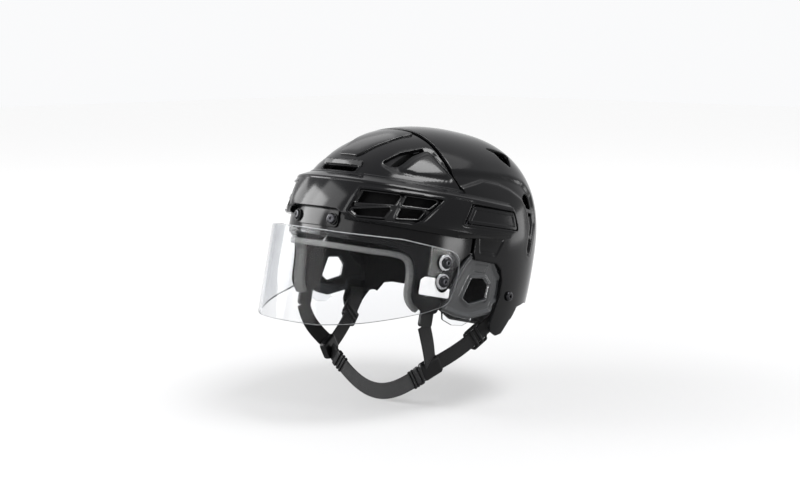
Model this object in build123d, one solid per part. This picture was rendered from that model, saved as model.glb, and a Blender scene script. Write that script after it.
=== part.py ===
from build123d import *
import math
import os

os.makedirs("parts", exist_ok=True)

# Ice hockey helmet with a clear half visor, ear guards and chin straps.
# The front faces -Y and the wearer's left side is +X.
# The rigid pieces are drawn level, with the visor upright, and are then tipped by the pitch.
pitch = 13.0

# Outer form of the shell: a rounded dome whose widest place lies behind the middle.
shell_length = 260.0
shell_height = 195.0
half_width = 106.0
front_reach = 155.0
crown_rise = 115.5
cheek_reach = 330.0
nape_reach = 130.0
plan_roundness = 2.22
front_roundness = 2.05
rear_roundness = 2.57
rear_reach = shell_length - front_reach
dome_y = (front_reach - rear_reach) / 2
dome_z = shell_height / 2 - crown_rise
ear_y = 1.0
ear_z = -56.0

# Counts and angles of the sections that the dome is lofted through.
hoop_count = 21
hoop_points = 15
hoop_start = -45.0
hoop_sweep = 280.0
hoop_lean = 82.0
patch_rows = 7
patch_turn = 14.0
patch_points = 7
patch_margin = 3.0
solve_steps = 30
slope_step = 0.01

# Walls, levels above or below the dome, and clearances.
wall = 3.0
front_level = -1.5
rear_level = 0.5
rear_wall = 2.7
belt_level = 6.0
slide_gap = 0.4
seat_gap = 0.3
fit_gap = 0.05
overrun = 30.0
size_travel = 12.0
root_depth = 1.0
front_inner = front_level - wall
front_root = front_level - root_depth
rear_inner = rear_level - rear_wall

# Side outlines of the two shells, as shares of shell length and shell height.
front_edge_shares = (
    (-0.165, 0.54), (-0.165, 0.318), (-0.154, 0.246), (-0.119, 0.149), (-0.073, -0.041),
    (-0.073, -0.118), (-0.104, -0.159), (-0.127, -0.205), (-0.169, -0.431), (-0.219, -0.446),
    (-0.246, -0.428), (-0.285, -0.318), (-0.308, -0.236), (-0.335, -0.185), (-0.369, -0.15),
    (-0.56, -0.149), (-0.56, 0.54),
)
rear_edge_shares = (
    (-0.157, 0.54), (-0.157, 0.318), (-0.146, 0.25), (-0.111, 0.155), (-0.065, -0.041),
    (-0.065, -0.113), (-0.092, -0.15), (-0.077, -0.144), (0.054, -0.144), (0.085, -0.169),
    (0.104, -0.226), (0.108, -0.297), (0.085, -0.441), (0.094, -0.479), (0.131, -0.497),
    (0.165, -0.482), (0.2, -0.41), (0.238, -0.338), (0.308, -0.313), (0.56, -0.313), (0.56, 0.54),
)
tongue_wall = 2.2
tongue_shares = (
    (-0.1635, 0.54), (-0.065, 0.54), (-0.065, 0.1), (-0.02, -0.03), (-0.02, -0.118),
    (-0.071, -0.118), (-0.071, -0.041), (-0.117, 0.149), (-0.152, 0.246), (-0.1635, 0.318),
)
flange_depth = 9.0
flange_shares = (
    (-0.179, 0.54), (-0.1585, 0.54), (-0.1585, 0.318), (-0.1475, 0.246), (-0.1125, 0.149),
    (-0.0665, -0.041), (-0.0665, -0.117), (-0.086, -0.117), (-0.086, -0.041), (-0.133, 0.149),
    (-0.168, 0.246), (-0.179, 0.318),
)

# Belt around the brow with its sloped ledge, and the arms over the rear shell.
belt_bottom = -11.0
belt_heel = -5.0
belt_shoulder = 27.0
belt_top = 34.0
belt_bevel = 2.5
belt_root = 1.8
belt_sweep = 100.0
belt_count = 21
arm_level = rear_level + slide_gap
belt_end_shares = (
    (-0.56, -0.08), (-0.15, -0.06), (0.1, -0.012), (0.14, 0.03), (0.14, 0.06),
    (0.115, 0.13), (0.09, 0.2), (-0.56, 0.2),
)
belt_front_share = -0.158

# Forehead recess and its screw plate.
brow_plate_half = 29.0
brow_plate_top = -2.5
brow_plate_bottom = -20.0
brow_plate_wall = 2.2
brow_notch_spread = 14.0
brow_plate_corner = 3.0
forehead_screw_pitch = 47.0
forehead_screw_z = -12.5
screw_head = 9.5
screw_rise = 2.6
screw_shank = 4.0
screw_round = 1.2
screw_socket = 3.2
socket_depth = 1.4
grommet_width = 2.0
grommet_wall = 0.9

# Vents and raised panels of the front shell.
slot_half = 23.0
slot_low = 35.0
slot_high = 41.0
hood_half = 26.0
hood_high = 47.0
hood_rise = 1.2
slot_corner = 2.0
tear_length = 72.0
tear_rise = 30.0
tear_along = -40.0
tear_up = 40.0
tear_shares = (
    (0.0, 0.23), (0.22, 0.63), (0.58, 1.0), (0.67, 0.95),
    (1.0, 0.23), (0.94, 0.08), (0.51, 0.0), (0.26, 0.03),
)
slit_shares = ((0.03, 0.25), (0.25, 0.66), (0.57, 0.96), (0.37, 0.57), (0.24, 0.2), (0.12, 0.18))
bulge_shares = ((0.28, 0.12), (0.4, 0.52), (0.61, 0.91), (0.96, 0.24), (0.9, 0.13), (0.51, 0.06))
tear_depth = 1.4
bulge_rise = 0.6
crown_panel_rise = 1.8
crown_panel_half_shares = ((-0.385, 0.045), (-0.37, 0.058), (-0.28, 0.09), (-0.215, 0.1), (-0.172, 0.115))

# Side grilles in the belt, drawn on a plane that faces the front quarter.
grille_length = 86.0
grille_height = 29.0
grille_along = -18.0
grille_up = 6.5
grille_shares = ((-0.4, 0.43), (0.5, 0.5), (0.3, -0.26), (0.21, -0.43), (-0.4, -0.5), (-0.5, -0.33))
window_shares = (
    ((-0.37, 0.36), (0.04, 0.4), (-0.01, 0.09), (-0.42, -0.02)),
    ((0.1, 0.4), (0.44, 0.43), (0.35, 0.16), (0.07, 0.12)),
    ((-0.46, -0.27), (-0.39, -0.42), (-0.1, -0.36), (-0.04, -0.04)),
    ((0.03, -0.32), (0.06, 0.0), (0.31, 0.05), (0.25, -0.24)),
)
grille_corner = 1.0
grille_front = 4.0
grille_back = -1.2

# Rear shell: channel above the arms, upper vents, side vents with their struts, nape vent.
channel_depth = 1.5
channel_shares = (
    (-0.18, 0.25), (0.0, 0.277), (0.13, 0.29), (0.22, 0.28), (0.28, 0.23), (0.3, 0.1),
    (0.26, -0.09), (0.24, -0.04), (0.247, 0.07), (0.225, 0.15), (0.19, 0.2), (0.12, 0.232),
    (0.06, 0.246), (-0.02, 0.246), (-0.18, 0.16),
)
side_vent_shares = (
    (0.2, 0.205), (0.235, 0.235), (0.262, 0.225), (0.285, 0.1), (0.262, -0.05), (0.24, -0.1),
    (0.252, 0.06), (0.235, 0.14),
)
strut_heights_shares = (0.01, 0.14)
strut_width = 3.5
top_vent_shares = ((-0.4, -0.5), (-0.4, 0.0), (-0.5, 0.5), (0.5, 0.14), (0.25, -0.12), (-0.1, -0.19))
top_vent_length = 42.0
top_vent_width = 20.0
top_vent_y = 39.0
top_vent_x = 69.0
nape_vent_half = 20.0
nape_vent_low = 6.0
nape_vent_high = 15.0
nape_vent_corner = 3.5
crown_turns = (20.0, 110.0)
quarter_turns = (2.0, 105.0)
crown_lean = (-45.0, 45.0)
quarter_lean = (0.0, 66.0)
brow_turns = (-30.0, 50.0)
brow_lean = (-60.0, 60.0)
rear_turns = (90.0, 215.0)
recess_shares = ((-0.048, -0.03), (0.08, -0.02), (0.05, -0.105), (-0.038, -0.105))
recess_depth = 0.9

# Size latches that lie in the arms.
latch_shares = ((-0.108, 0.113), (0.104, 0.118), (0.127, 0.035), (-0.14, 0.018))
latch_corner = 1.0
latch_gap = 0.6
latch_bottom = 3.0
latch_top = 5.2
pocket_floor = 2.0
latch_pin = 1.6
latch_barrel = 3.0
latch_axis_level = 4.0
latch_axis_top = 19.5
latch_axis_bottom = 6.0
latch_axis_inset = 2.8
latch_pin_bite = 6.0

# Visor and its side screws.
visor_half_width = 102.0
visor_depth = 141.0
visor_y = -10.0
visor_wall = 2.5
visor_length = 122.0
visor_height = 91.0
visor_rear = -31.0
visor_top = -22.0
visor_shares = (
    (-1.14, -0.02), (-0.89, -0.02), (-0.52, 0.01), (-0.13, -0.02), (-0.06, -0.04), (-0.02, -0.1),
    (-0.01, -0.25), (-0.025, -0.42), (-0.06, -0.55), (-0.11, -0.6), (-0.26, -0.69), (-0.43, -0.77),
    (-0.69, -0.89), (-0.92, -0.98), (-1.14, -1.0),
)
visor_screw_y = -49.0
visor_screw_z = -44.75
visor_screw_pitch = 17.5
visor_travel = 3.0
visor_screw_head = 11.0
visor_screw_rise = 3.2
visor_screw_shank = 5.0
visor_screw_round = 1.4
visor_screw_socket = 4.4
visor_reach = 12.7
washer_width = 14.0
washer_wall = 1.1
bush_width = 13.0
nut_width = 9.5
nut_wall = 2.4
plate_shares = ((-0.5, -0.5), (0.5, -0.5), (0.5, 0.05), (0.1, 0.05), (-0.05, 0.5), (-0.38, 0.5), (-0.5, 0.3))
plate_length = 32.0
plate_height = 17.0
plate_y = -57.0
plate_z = -60.0
plate_wall = 0.8
plate_corner = 1.5

# Ear guards with their clear lower lips.
guard_wall = 2.2
guard_level = rear_inner - seat_gap
guard_shares = (
    (-0.065, -0.122), (0.05, -0.122), (0.084, -0.18), (0.17, -0.25), (0.175, -0.33), (0.092, -0.345),
    (0.089, -0.39), (-0.023, -0.436), (-0.088, -0.43), (-0.152, -0.41), (-0.12, -0.26), (-0.09, -0.17),
)
guard_corner = 2.5
guard_hole_shares = (
    (-0.045, -0.236), (0.018, -0.226), (0.046, -0.256), (0.044, -0.323), (-0.035, -0.359), (-0.07, -0.338),
)
guard_hole_corner = 2.0
guard_notch_shares = ((-0.04, -0.165), (0.03, -0.16), (0.02, -0.2), (-0.035, -0.2))
guard_notch_depth = 1.6
guard_border = 5.0
guard_rim = 3.2
guard_panel_depth = 0.8
lip_wall = 1.4
lip_shares = ((-0.145, -0.39), (0.0, -0.4), (0.0, -0.44), (-0.035, -0.47), (-0.085, -0.475), (-0.13, -0.455))
lip_corner = 2.0
lobe_screw_y = 41.0
lobe_screw_z = -57.0
lobe_screw_reach = 7.0

# Lining: foam blocks and felt edges.
foam = 11.0
crown_foam = 8.0
foam_step = 3.0
foam_inset = 4.0
felt_depth = 14.0
pad_corner = 4.0
felt_corner = 1.0
brow_pad_shares = ((-0.56, -0.14), (-0.33, -0.14), (-0.3, 0.1), (-0.56, 0.1))
brow_felt_shares = ((-0.56, -0.192), (-0.37, -0.195), (-0.362, -0.152), (-0.56, -0.152))
temple_pad_shares = (
    (-0.28, -0.16), (-0.17, -0.16), (-0.18, -0.34), (-0.245, -0.352), (-0.27, -0.29), (-0.29, -0.22),
)
temple_felt_shares = (
    (-0.358, -0.195), (-0.335, -0.256), (-0.312, -0.328), (-0.273, -0.441), (-0.231, -0.477),
    (-0.218, -0.452), (-0.252, -0.43), (-0.292, -0.318), (-0.315, -0.236), (-0.342, -0.187),
)
side_pad_shares = ((0.14, -0.12), (0.3, -0.12), (0.3, 0.13), (0.14, 0.1))
nape_pad_shares = ((-0.17, -0.28), (0.17, -0.28), (0.14, -0.04), (-0.14, -0.04))
crown_front_shares = ((-0.34, 0.02), (-0.21, 0.02), (-0.21, 0.6), (-0.34, 0.6))
crown_rear_shares = ((0.0, 0.2), (0.25, 0.2), (0.25, 0.6), (0.0, 0.6))
crown_pad_half = 42.0

# Webbing, keepers, glides and snaps; these hang, so their places are given as worn down, not level.
web_width = 16.0
web_wall = 1.8
junction_half = 71.5
junction_y = -46.5
junction_z = -129.0
keeper_length = 23.0
keeper_height = 25.0
keeper_wall = 5.0
keeper_corner = 4.0
keeper_rear_rise = 6.0
chin_sag = 33.0
chin_bulge = 4.0
chin_count = 13
strap_count = 7
front_strap_bow = 8.0
rear_strap_sag = 4.0
tab_level = 86.5
tab_wall = 3.0
tab_y = -48.0
tab_top = -72.0
tab_bottom = -98.0
tab_corner = 3.0
snap_width = 9.0
snap_hole = 2.0
rear_strap_half = 95.4
rear_strap_y = 17.0
rear_strap_z = -87.0
glide_length = 15.0
glide_rim = 3.0
glide_wall = 5.4
glide_slot_gap = 0.4
glide_steps = 10
glide_place = 6
clip_length = 16.0
clip_height = 17.0
clip_y = 36.0
clip_z = -81.0
clip_wall = 3.0
clip_corner = 3.0


def dome_value(x, y, z, grow, shift):
    """Say how far out a place lies: one on the dome, less inside, more outside."""
    dx = abs(x)
    dy = y - dome_y - shift
    dz = z - dome_z
    flat = math.hypot(dx, dy)
    rearward = 0.5 + 0.5 * dy / flat if flat else 0.5
    reach = (rear_reach if dy > 0 else front_reach) + grow
    rise = crown_rise + grow if dz > 0 else cheek_reach + (nape_reach - cheek_reach) * rearward
    roundness = front_roundness + (rear_roundness - front_roundness) * rearward
    plan = ((dx / (half_width + grow)) ** plan_roundness + (abs(dy) / reach) ** plan_roundness)
    plan = plan ** (1 / plan_roundness)
    return (plan ** roundness + (abs(dz) / rise) ** roundness) ** (1 / roundness)


def dome_hit(start, way, grow, shift=0):
    """Find where a ray from a place inside meets the dome."""
    near = 0
    far = shell_length + shell_height
    for _ in range(solve_steps):
        middle = (near + far) / 2
        x, y, z = (s + w * middle for s, w in zip(start, way))
        if dome_value(x, y, z, grow, shift) < 1:
            near = middle
        else:
            far = middle
    return tuple(s + w * near for s, w in zip(start, way))


def even_steps(count, start=0.0, end=1.0):
    """Evenly spaced values from start to end."""
    return [start + (end - start) * step / (count - 1) for step in range(count)]


def wall_section(outer_points, inner_points):
    """Face between an outer and an inner curve, closed at both ends."""
    outer = Edge.make_spline(outer_points, parameters=even_steps(len(outer_points)))
    inner = Edge.make_spline(inner_points, parameters=even_steps(len(inner_points)))
    return Face(Wire([outer, Line(outer @ 1, inner @ 1), inner, Line(inner @ 0, outer @ 0)]))


def hoop(turn, leans, grow, shift):
    """Points of one hoop over the head, in a plane through both ears."""
    points = []
    for lean in leans:
        way = (math.sin(lean), -math.cos(lean) * math.cos(turn), math.cos(lean) * math.sin(turn))
        points.append(dome_hit((0, ear_y, ear_z), way, grow, shift))
    return points


def dome_wall(inner, outer, turns=None, leans=None, shift=0):
    """Loft a wall between two levels of the dome, open below and at both ears, or a patch of it."""
    first, last = turns or (hoop_start, hoop_start + hoop_sweep)
    low, high = leans or (-hoop_lean, hoop_lean)
    rows = hoop_count if turns is None else math.ceil((last - first) / patch_turn) + 1
    lean_steps = [math.radians(lean) for lean in even_steps(hoop_points, low, high)]
    sections = []
    for degrees in even_steps(rows, first, last):
        hoops = [hoop(math.radians(degrees), lean_steps, level, shift) for level in (outer, inner)]
        sections.append(wall_section(*hoops))
    return loft(sections)


def side_patch(points, inner, outer):
    """Wall between two levels on the left side, large enough for an outline drawn there."""
    left = min(y for y, z in points) - patch_margin
    right = max(y for y, z in points) + patch_margin
    low = min(z for y, z in points) - patch_margin
    high = max(z for y, z in points) + patch_margin
    sections = []
    for z in even_steps(patch_rows, low, high):
        starts = [(0, y, z) for y in even_steps(patch_points, left, right)]
        rows = [[dome_hit(start, (1, 0, 0), level) for start in starts] for level in (outer, inner)]
        sections.append(wall_section(*rows))
    return loft(sections)


def side_piece(points, inner, outer, corner=0):
    """Piece of the left side with a given outline between two levels."""
    return side_patch(points, inner, outer) & side_prism(points, corner, both=False)


def dome_plane(start, way, level):
    """Plane that touches the dome where a ray meets it, facing outward."""
    x, y, z = dome_hit(start, way, level)
    here = dome_value(x, y, z, level, 0)
    slope = Vector(
        dome_value(x + slope_step, y, z, level, 0) - here,
        dome_value(x, y + slope_step, z, level, 0) - here,
        dome_value(x, y, z + slope_step, level, 0) - here,
    )
    return Plane(origin=(x, y, z), z_dir=slope)


def belt_section(turn):
    """Profile of the belt in one upright plane: root, heel, face and sloped ledge."""
    root = front_level - belt_root
    profile = (
        (belt_bottom, root), (belt_bottom, belt_level - belt_bevel), (belt_heel, belt_level),
        (belt_shoulder, belt_level), (belt_top, front_root), (belt_top, root),
        ((belt_bottom + belt_top) / 2, root),
    )
    way = (math.sin(turn), -math.cos(turn), 0)
    corners = [dome_hit((0, dome_y, height), way, level) for height, level in profile]
    return Face(Wire(Polyline(*corners, close=True).edges()))


def share_points(shares, length=shell_length, height=shell_height, along=0, up=0):
    """Turn shares of a length and a height into points."""
    return [(along + a * length, up + b * height) for a, b in shares]


def flat_outline(points, corner=0):
    """Closed outline, with its corners rounded where a radius is given."""
    face = make_face(Polyline(*points, close=True))
    return fillet(face.vertices(), corner) if corner else face


def side_prism(points, corner=0, both=True):
    """Outline seen from the side, carried through the helmet or through its left half."""
    return extrude(Plane.YZ * flat_outline(points, corner), half_width + overrun, both=both)


def front_prism(points, corner=0):
    """Outline seen from the front, carried through the front half."""
    return extrude(Plane.XZ * flat_outline(points, corner), shell_length)


def back_prism(points, corner=0):
    """Outline seen from the front, carried through the rear half."""
    return extrude(Plane.XZ * flat_outline(points, corner), -shell_length)


def plan_prism(points, corner=0):
    """Outline seen from above, carried through the crown."""
    return extrude(Plane.XY * flat_outline(points, corner), shell_height)


def quarter_prism(points, corner=0):
    """Outline seen from the front quarter on the left, carried through that side."""
    face = Plane(origin=(0, 0, 0), x_dir=(1, 1, 0), z_dir=(1, -1, 0)) * flat_outline(points, corner)
    return extrude(face, shell_length)


def mirrored(shape):
    """The same piece for the wearer's right side."""
    return mirror(shape, about=Plane.YZ)


def both_sides(shape):
    """A piece together with its mirror image."""
    return shape + mirrored(shape)


def box_points(left, right, low, high):
    """Corners of an upright rectangle."""
    return [(left, low), (right, low), (right, high), (left, high)]


def moved_edge(points, gap):
    """Outline moved outward by a gap, or inward by a negative one."""
    face = make_face(Polyline(*points, close=True))
    moved = offset(face, gap, kind=Kind.INTERSECTION)
    corners = [edge @ 0 for edge in moved.face().outer_wire().order_edges()]
    return [(corner.X, corner.Y) for corner in corners]


def save(name, shape):
    """Write a piece that was drawn level, tipped by the pitch."""
    export_step(Rot(-pitch, 0, 0) * shape, "parts/" + name + ".step")


def save_pair(name, shape):
    """Write a piece of the left side and its mirror image."""
    save(name + "_left", shape)
    save(name + "_right", mirrored(shape))


def belt_ring():
    """Belt round the brow, hollowed behind the seam so that its arms clear the rear shell."""
    turns = even_steps(belt_count, -belt_sweep, belt_sweep)
    ring = loft([belt_section(math.radians(turn)) for turn in turns])
    ends = side_prism(share_points(belt_end_shares))
    front = belt_front_share * shell_length
    behind = side_prism(box_points(front, shell_length, -shell_height, shell_height))
    return (ring & ends) - (dome_wall(front_inner - belt_root, arm_level) & behind)


def latch_axis():
    """Lower and upper end of the left latch's hinge line, just behind the latch's front edge."""
    (top_y, top_z), (low_y, low_z) = [share_points(latch_shares)[place] for place in (0, 3)]
    ends = []
    for z in (latch_axis_bottom, latch_axis_top):
        y = low_y + (top_y - low_y) * (z - low_z) / (top_z - low_z) + latch_axis_inset
        ends.append(Vector(*dome_hit((0, y, z), (1, 0, 0), latch_axis_level)))
    return ends


def rod(start, end, width, extra=0):
    """Round bar between two places, longer at both ends by an extra length."""
    way = (end - start).normalized()
    plane = Plane(origin=start - way * extra, z_dir=way)
    length = (end - start).length + 2 * extra
    return plane * Cylinder(width / 2, length, align=(Align.CENTER, Align.CENTER, Align.MIN))


def bore(plane, width, depth, rise=0):
    """Round cutter that goes down into a plane and stands above it by a rise."""
    cutter = Cylinder(width / 2, depth + rise, align=(Align.CENTER, Align.CENTER, Align.MIN))
    return plane * Pos(0, 0, -depth) * cutter


def ring(plane, outer, inner, height, lift=0):
    """Flat washer that stands on a plane, or above it by a lift."""
    base = (Align.CENTER, Align.CENTER, Align.MIN)
    washer = Cylinder(outer / 2, height, align=base) - Cylinder(inner / 2, height, align=base)
    return plane * Pos(0, 0, lift) * washer


def screw(plane, head, rise, shank, reach, edge, socket, lift=0):
    """Domed screw with a hexagon socket; its shank goes down into the plane."""
    base = (Align.CENTER, Align.CENTER, Align.MIN)
    top = Cylinder(head / 2, rise, align=base)
    top = fillet(top.edges().sort_by(Axis.Z)[-1], edge)
    hexagon = extrude(Pos(0, 0, rise) * RegularPolygon(socket / 2, 6), -socket_depth)
    stem = Pos(0, 0, -reach - lift) * Cylinder(shank / 2, reach + lift, align=base)
    return plane * Pos(0, 0, lift) * ((top - hexagon) + stem)


def front_planes():
    """Planes of the two forehead screws on the face of their plate."""
    level = front_level + brow_plate_wall
    half = forehead_screw_pitch / 2
    return [dome_plane((side * half, dome_y, forehead_screw_z), (0, -1, 0), level) for side in (-1, 1)]


def visor_planes():
    """Planes of the two left visor screws on the outer face of the visor."""
    along = visor_screw_y - visor_y
    across = math.sqrt(1 - (along / visor_depth) ** 2) * visor_half_width
    normal = Vector(across / visor_half_width ** 2, along / visor_depth ** 2, 0).normalized()
    planes = []
    for side in (-1, 1):
        foot = Vector(across, visor_screw_y, visor_screw_z + side * visor_screw_pitch / 2)
        planes.append(Plane(origin=foot + normal * visor_wall, x_dir=(0, 0, 1), z_dir=normal))
    return planes


def lobe_plane():
    """Plane of the screw in the left rear lobe."""
    return dome_plane((0, lobe_screw_y, lobe_screw_z), (1, 0, 0), rear_level)


def visor_sheet(inner, outer):
    """Upright oval wall about the visor's own middle, between two gaps from its inner face."""
    rim, core = [Ellipse(visor_half_width + gap, visor_depth + gap) for gap in (outer, inner)]
    low = visor_top - visor_height - overrun
    return extrude(Pos(0, visor_y, low) * (rim - core), visor_height + 2 * overrun)


def make_front_shell():
    """Front shell with belt, arms, tongue, raised panels, vents, pockets and screw holes."""
    half = [(b * shell_length, a * shell_length) for a, b in crown_panel_half_shares]
    crown_outline = half + [(-x, y) for x, y in reversed(half)]
    hood = front_prism(box_points(-hood_half, hood_half, slot_low, hood_high), slot_corner)
    tear = share_points(tear_shares, tear_length, tear_rise, tear_along, tear_up)
    bulge = share_points(bulge_shares, tear_length, tear_rise, tear_along, tear_up)
    slit = share_points(slit_shares, tear_length, tear_rise, tear_along, tear_up)
    grille = share_points(grille_shares, grille_length, grille_height, grille_along, grille_up)
    notch_low = brow_plate_half + brow_notch_spread
    notch = [(-notch_low, belt_bottom - fit_gap), (notch_low, belt_bottom - fit_gap),
             (brow_plate_half, brow_plate_top), (-brow_plate_half, brow_plate_top)]
    latch = share_points(latch_shares)
    low_pin, high_pin = latch_axis()
    tongue_outer = rear_inner - slide_gap
    tongue = dome_wall(tongue_outer - tongue_wall, tongue_outer, shift=size_travel)
    pocket = side_patch(latch, pocket_floor, belt_level + latch_gap)

    shell = dome_wall(front_inner, front_level) & side_prism(share_points(front_edge_shares))
    tear_cut = dome_wall(front_level - tear_depth, front_level + belt_level, quarter_turns, quarter_lean)
    shell -= both_sides(tear_cut & quarter_prism(tear))
    panel = dome_wall(front_root, front_level + crown_panel_rise, crown_turns, crown_lean)
    shell += [
        dome_wall(front_level - flange_depth, front_root) & side_prism(share_points(flange_shares)),
        tongue & side_prism(share_points(tongue_shares)),
        belt_ring() - front_prism(notch),
        panel & plan_prism(crown_outline),
        dome_wall(front_root, front_level + hood_rise, brow_turns, brow_lean) & hood,
        both_sides(dome_wall(front_root - root_depth, front_level + bulge_rise, quarter_turns, quarter_lean)
                   & quarter_prism(bulge)),
    ]
    cuts = [
        front_prism(box_points(-slot_half, slot_half, slot_low, slot_high), slot_corner),
        both_sides(quarter_prism(slit)),
        both_sides(quarter_prism(moved_edge(grille, fit_gap))),
        both_sides(pocket & side_prism(moved_edge(latch, latch_gap), both=False)),
        both_sides(rod(low_pin, high_pin, latch_pin + 2 * fit_gap, latch_pin_bite)),
    ]
    cuts += [bore(plane, screw_shank + 2 * fit_gap, overrun) for plane in front_planes()]
    cuts += [both_sides(bore(plane, visor_screw_shank + 2 * fit_gap, overrun)) for plane in visor_planes()]
    return shell - cuts


def make_rear_shell():
    """Rear shell with its channel, recesses, vents, struts and screw holes."""
    shell = dome_wall(rear_inner, rear_level) & side_prism(share_points(rear_edge_shares))
    channel = dome_wall(rear_level - channel_depth, rear_level + belt_level)
    recess = side_piece(share_points(recess_shares), rear_level - recess_depth, rear_level + belt_level)
    side_vents = side_prism(share_points(side_vent_shares))
    struts = [side_prism(box_points(0, shell_length, b * shell_height, b * shell_height + strut_width))
              for b in strut_heights_shares]
    top_vent = share_points(top_vent_shares, top_vent_width, top_vent_length, top_vent_x, top_vent_y)
    nape_vent = box_points(-nape_vent_half, nape_vent_half, nape_vent_low, nape_vent_high)
    cuts = [
        channel & side_prism(share_points(channel_shares)),
        both_sides(recess),
        side_vents - struts,
        both_sides(plan_prism(top_vent)),
        back_prism(nape_vent, nape_vent_corner),
        both_sides(bore(lobe_plane(), screw_shank + 2 * fit_gap, overrun)),
    ]
    return shell - cuts


def make_brow_plate():
    """Plate across the forehead that carries the two screws."""
    outline = box_points(-brow_plate_half, brow_plate_half, brow_plate_bottom, brow_plate_top - fit_gap)
    plate = dome_wall(front_level + fit_gap, front_level + brow_plate_wall, brow_turns, brow_lean)
    plate = plate & front_prism(outline, brow_plate_corner)
    return plate - [bore(plane, screw_shank + 2 * fit_gap, overrun, overrun) for plane in front_planes()]


def make_grille():
    """Vent insert of the left side with its four slanted windows."""
    outline = share_points(grille_shares, grille_length, grille_height, grille_along, grille_up)
    insert = dome_wall(grille_back, grille_front, quarter_turns, quarter_lean) & quarter_prism(outline)
    windows = [quarter_prism(share_points(shares, grille_length, grille_height, grille_along, grille_up),
                             grille_corner) for shares in window_shares]
    return insert - windows


def make_latch():
    """Left size latch: a curved plate on a barrel that turns on the pin."""
    low_pin, high_pin = latch_axis()
    points = share_points(latch_shares)
    for place in (0, 3):
        y, z = points[place]
        points[place] = (y + latch_axis_inset, z)
    plate = side_piece(points, latch_bottom, latch_top, latch_corner) + rod(low_pin, high_pin, latch_barrel)
    return plate - rod(low_pin, high_pin, latch_pin + 2 * fit_gap, overrun)


def make_visor():
    """Clear half visor with a slotted hole for each side screw."""
    points = share_points(visor_shares, visor_length, visor_height, visor_rear, visor_top)
    visor = visor_sheet(0, visor_wall) & side_prism(points)
    width = visor_screw_shank + 2 * seat_gap
    slot = extrude(SlotOverall(width + 2 * visor_travel, width), overrun, both=True)
    return visor - [both_sides(plane * slot) for plane in visor_planes()]


def make_visor_plate():
    """Blank plate on the left side of the visor, cut round the lower screw."""
    points = share_points(plate_shares, plate_length, plate_height, plate_y, plate_z)
    plate = visor_sheet(visor_wall + fit_gap, visor_wall + fit_gap + plate_wall)
    plate = plate & side_prism(points, plate_corner, both=False)
    width = washer_width + 2 * seat_gap
    slot = extrude(SlotOverall(width + 2 * visor_travel, width), overrun, both=True)
    return plate - visor_planes()[0] * slot


def make_bushes():
    """Clear bushes that stand the left of the visor off the shell."""
    hole = visor_screw_shank + 2 * fit_gap
    depth = visor_wall + bush_width + seat_gap
    tubes = [ring(plane, bush_width, hole, bush_width, -depth) for plane in visor_planes()]
    reach = bush_width + visor_screw_pitch
    corners = [(visor_screw_y + side * bush_width, visor_screw_z + side * reach) for side in (-1, 1)]
    return (tubes[0] + tubes[1]) - side_patch(corners, front_level - depth, front_level + fit_gap)


def make_guard():
    """Left ear guard: a plate with a six-sided opening, its panel sunk between border and rim."""
    outline, notch_edge, hole_edge = [share_points(shares)
                                      for shares in (guard_shares, guard_notch_shares, guard_hole_shares)]
    guard = side_piece(outline, guard_level - guard_wall, guard_level, guard_corner)
    notch = side_piece(notch_edge, guard_level - guard_notch_depth, guard_level + guard_wall)
    hole = side_prism(hole_edge, guard_hole_corner, both=False)
    panel = side_piece(moved_edge(outline, -guard_border), guard_level - guard_panel_depth, guard_level + guard_wall)
    panel -= side_prism(moved_edge(hole_edge, guard_rim), both=False)
    return guard - [panel, notch, hole, bore(lobe_plane(), screw_shank + 2 * fit_gap, overrun)]


def make_lip():
    """Clear lip behind the lower edge of the left ear guard."""
    level = guard_level - guard_wall - fit_gap
    return side_piece(share_points(lip_shares), level - lip_wall, level, lip_corner)


def block(build, prism, points, level, depth):
    """Foam block against one level, with a smaller step on its inner face."""
    base = build(level - depth, level - seat_gap) & prism(points, pad_corner)
    inset = moved_edge(points, -foam_inset)
    step = build(level - depth - foam_step, level - depth / 2) & prism(inset, pad_corner)
    return base + step


def side_block(points, level, depth):
    """Foam block of the left side."""
    base = side_piece(points, level - depth, level - seat_gap, pad_corner)
    step = side_piece(moved_edge(points, -foam_inset), level - depth - foam_step, level - depth / 2, pad_corner)
    return base + step


def brow_wall(inner, outer):
    """Patch of the dome behind the brow."""
    return dome_wall(inner, outer, brow_turns, brow_lean)


def crown_wall(inner, outer):
    """Patch of the dome under the crown, front and rear, no wider than the crown pads."""
    patch = dome_wall(inner, outer, (crown_turns[0], rear_turns[1]), crown_lean)
    return patch & plan_prism(box_points(-crown_pad_half, crown_pad_half, -shell_length, shell_length))


def nape_wall(inner, outer):
    """Patch of the dome in front of the nape."""
    return dome_wall(inner, outer, rear_turns, brow_lean)


def tipped(x, y, z):
    """Where a place of the level helmet lies once the helmet is tipped."""
    angle = math.radians(pitch)
    return Vector(x, y * math.cos(angle) + z * math.sin(angle), z * math.cos(angle) - y * math.sin(angle))


def strap_stations(start, end, bow, count, facing):
    """Planes across a strap that runs from start to end and bows out between them."""
    planes = []
    for share in even_steps(count):
        middle = start + (end - start) * share + bow * math.sin(math.pi * share)
        way = (end - start + bow * math.pi * math.cos(math.pi * share)).normalized()
        planes.append(Plane(origin=middle, x_dir=way.cross(facing), z_dir=way))
    return planes


def webbing(planes):
    """Flat strap through planes across it."""
    return loft([plane * Rectangle(web_width, web_wall) for plane in planes], ruled=True)


def make_tab(gap=0):
    """Plate inside the left cheek that the front strap hangs from, or its room with a gap round it."""
    half = web_width / 2 + gap
    outline = flat_outline(box_points(tab_y - half, tab_y + half, tab_bottom - gap, tab_top + gap), tab_corner)
    return Pos(tab_level - tab_wall / 2, 0, 0) * extrude(Plane.YZ * outline, tab_wall / 2 + gap, both=True)


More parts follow.
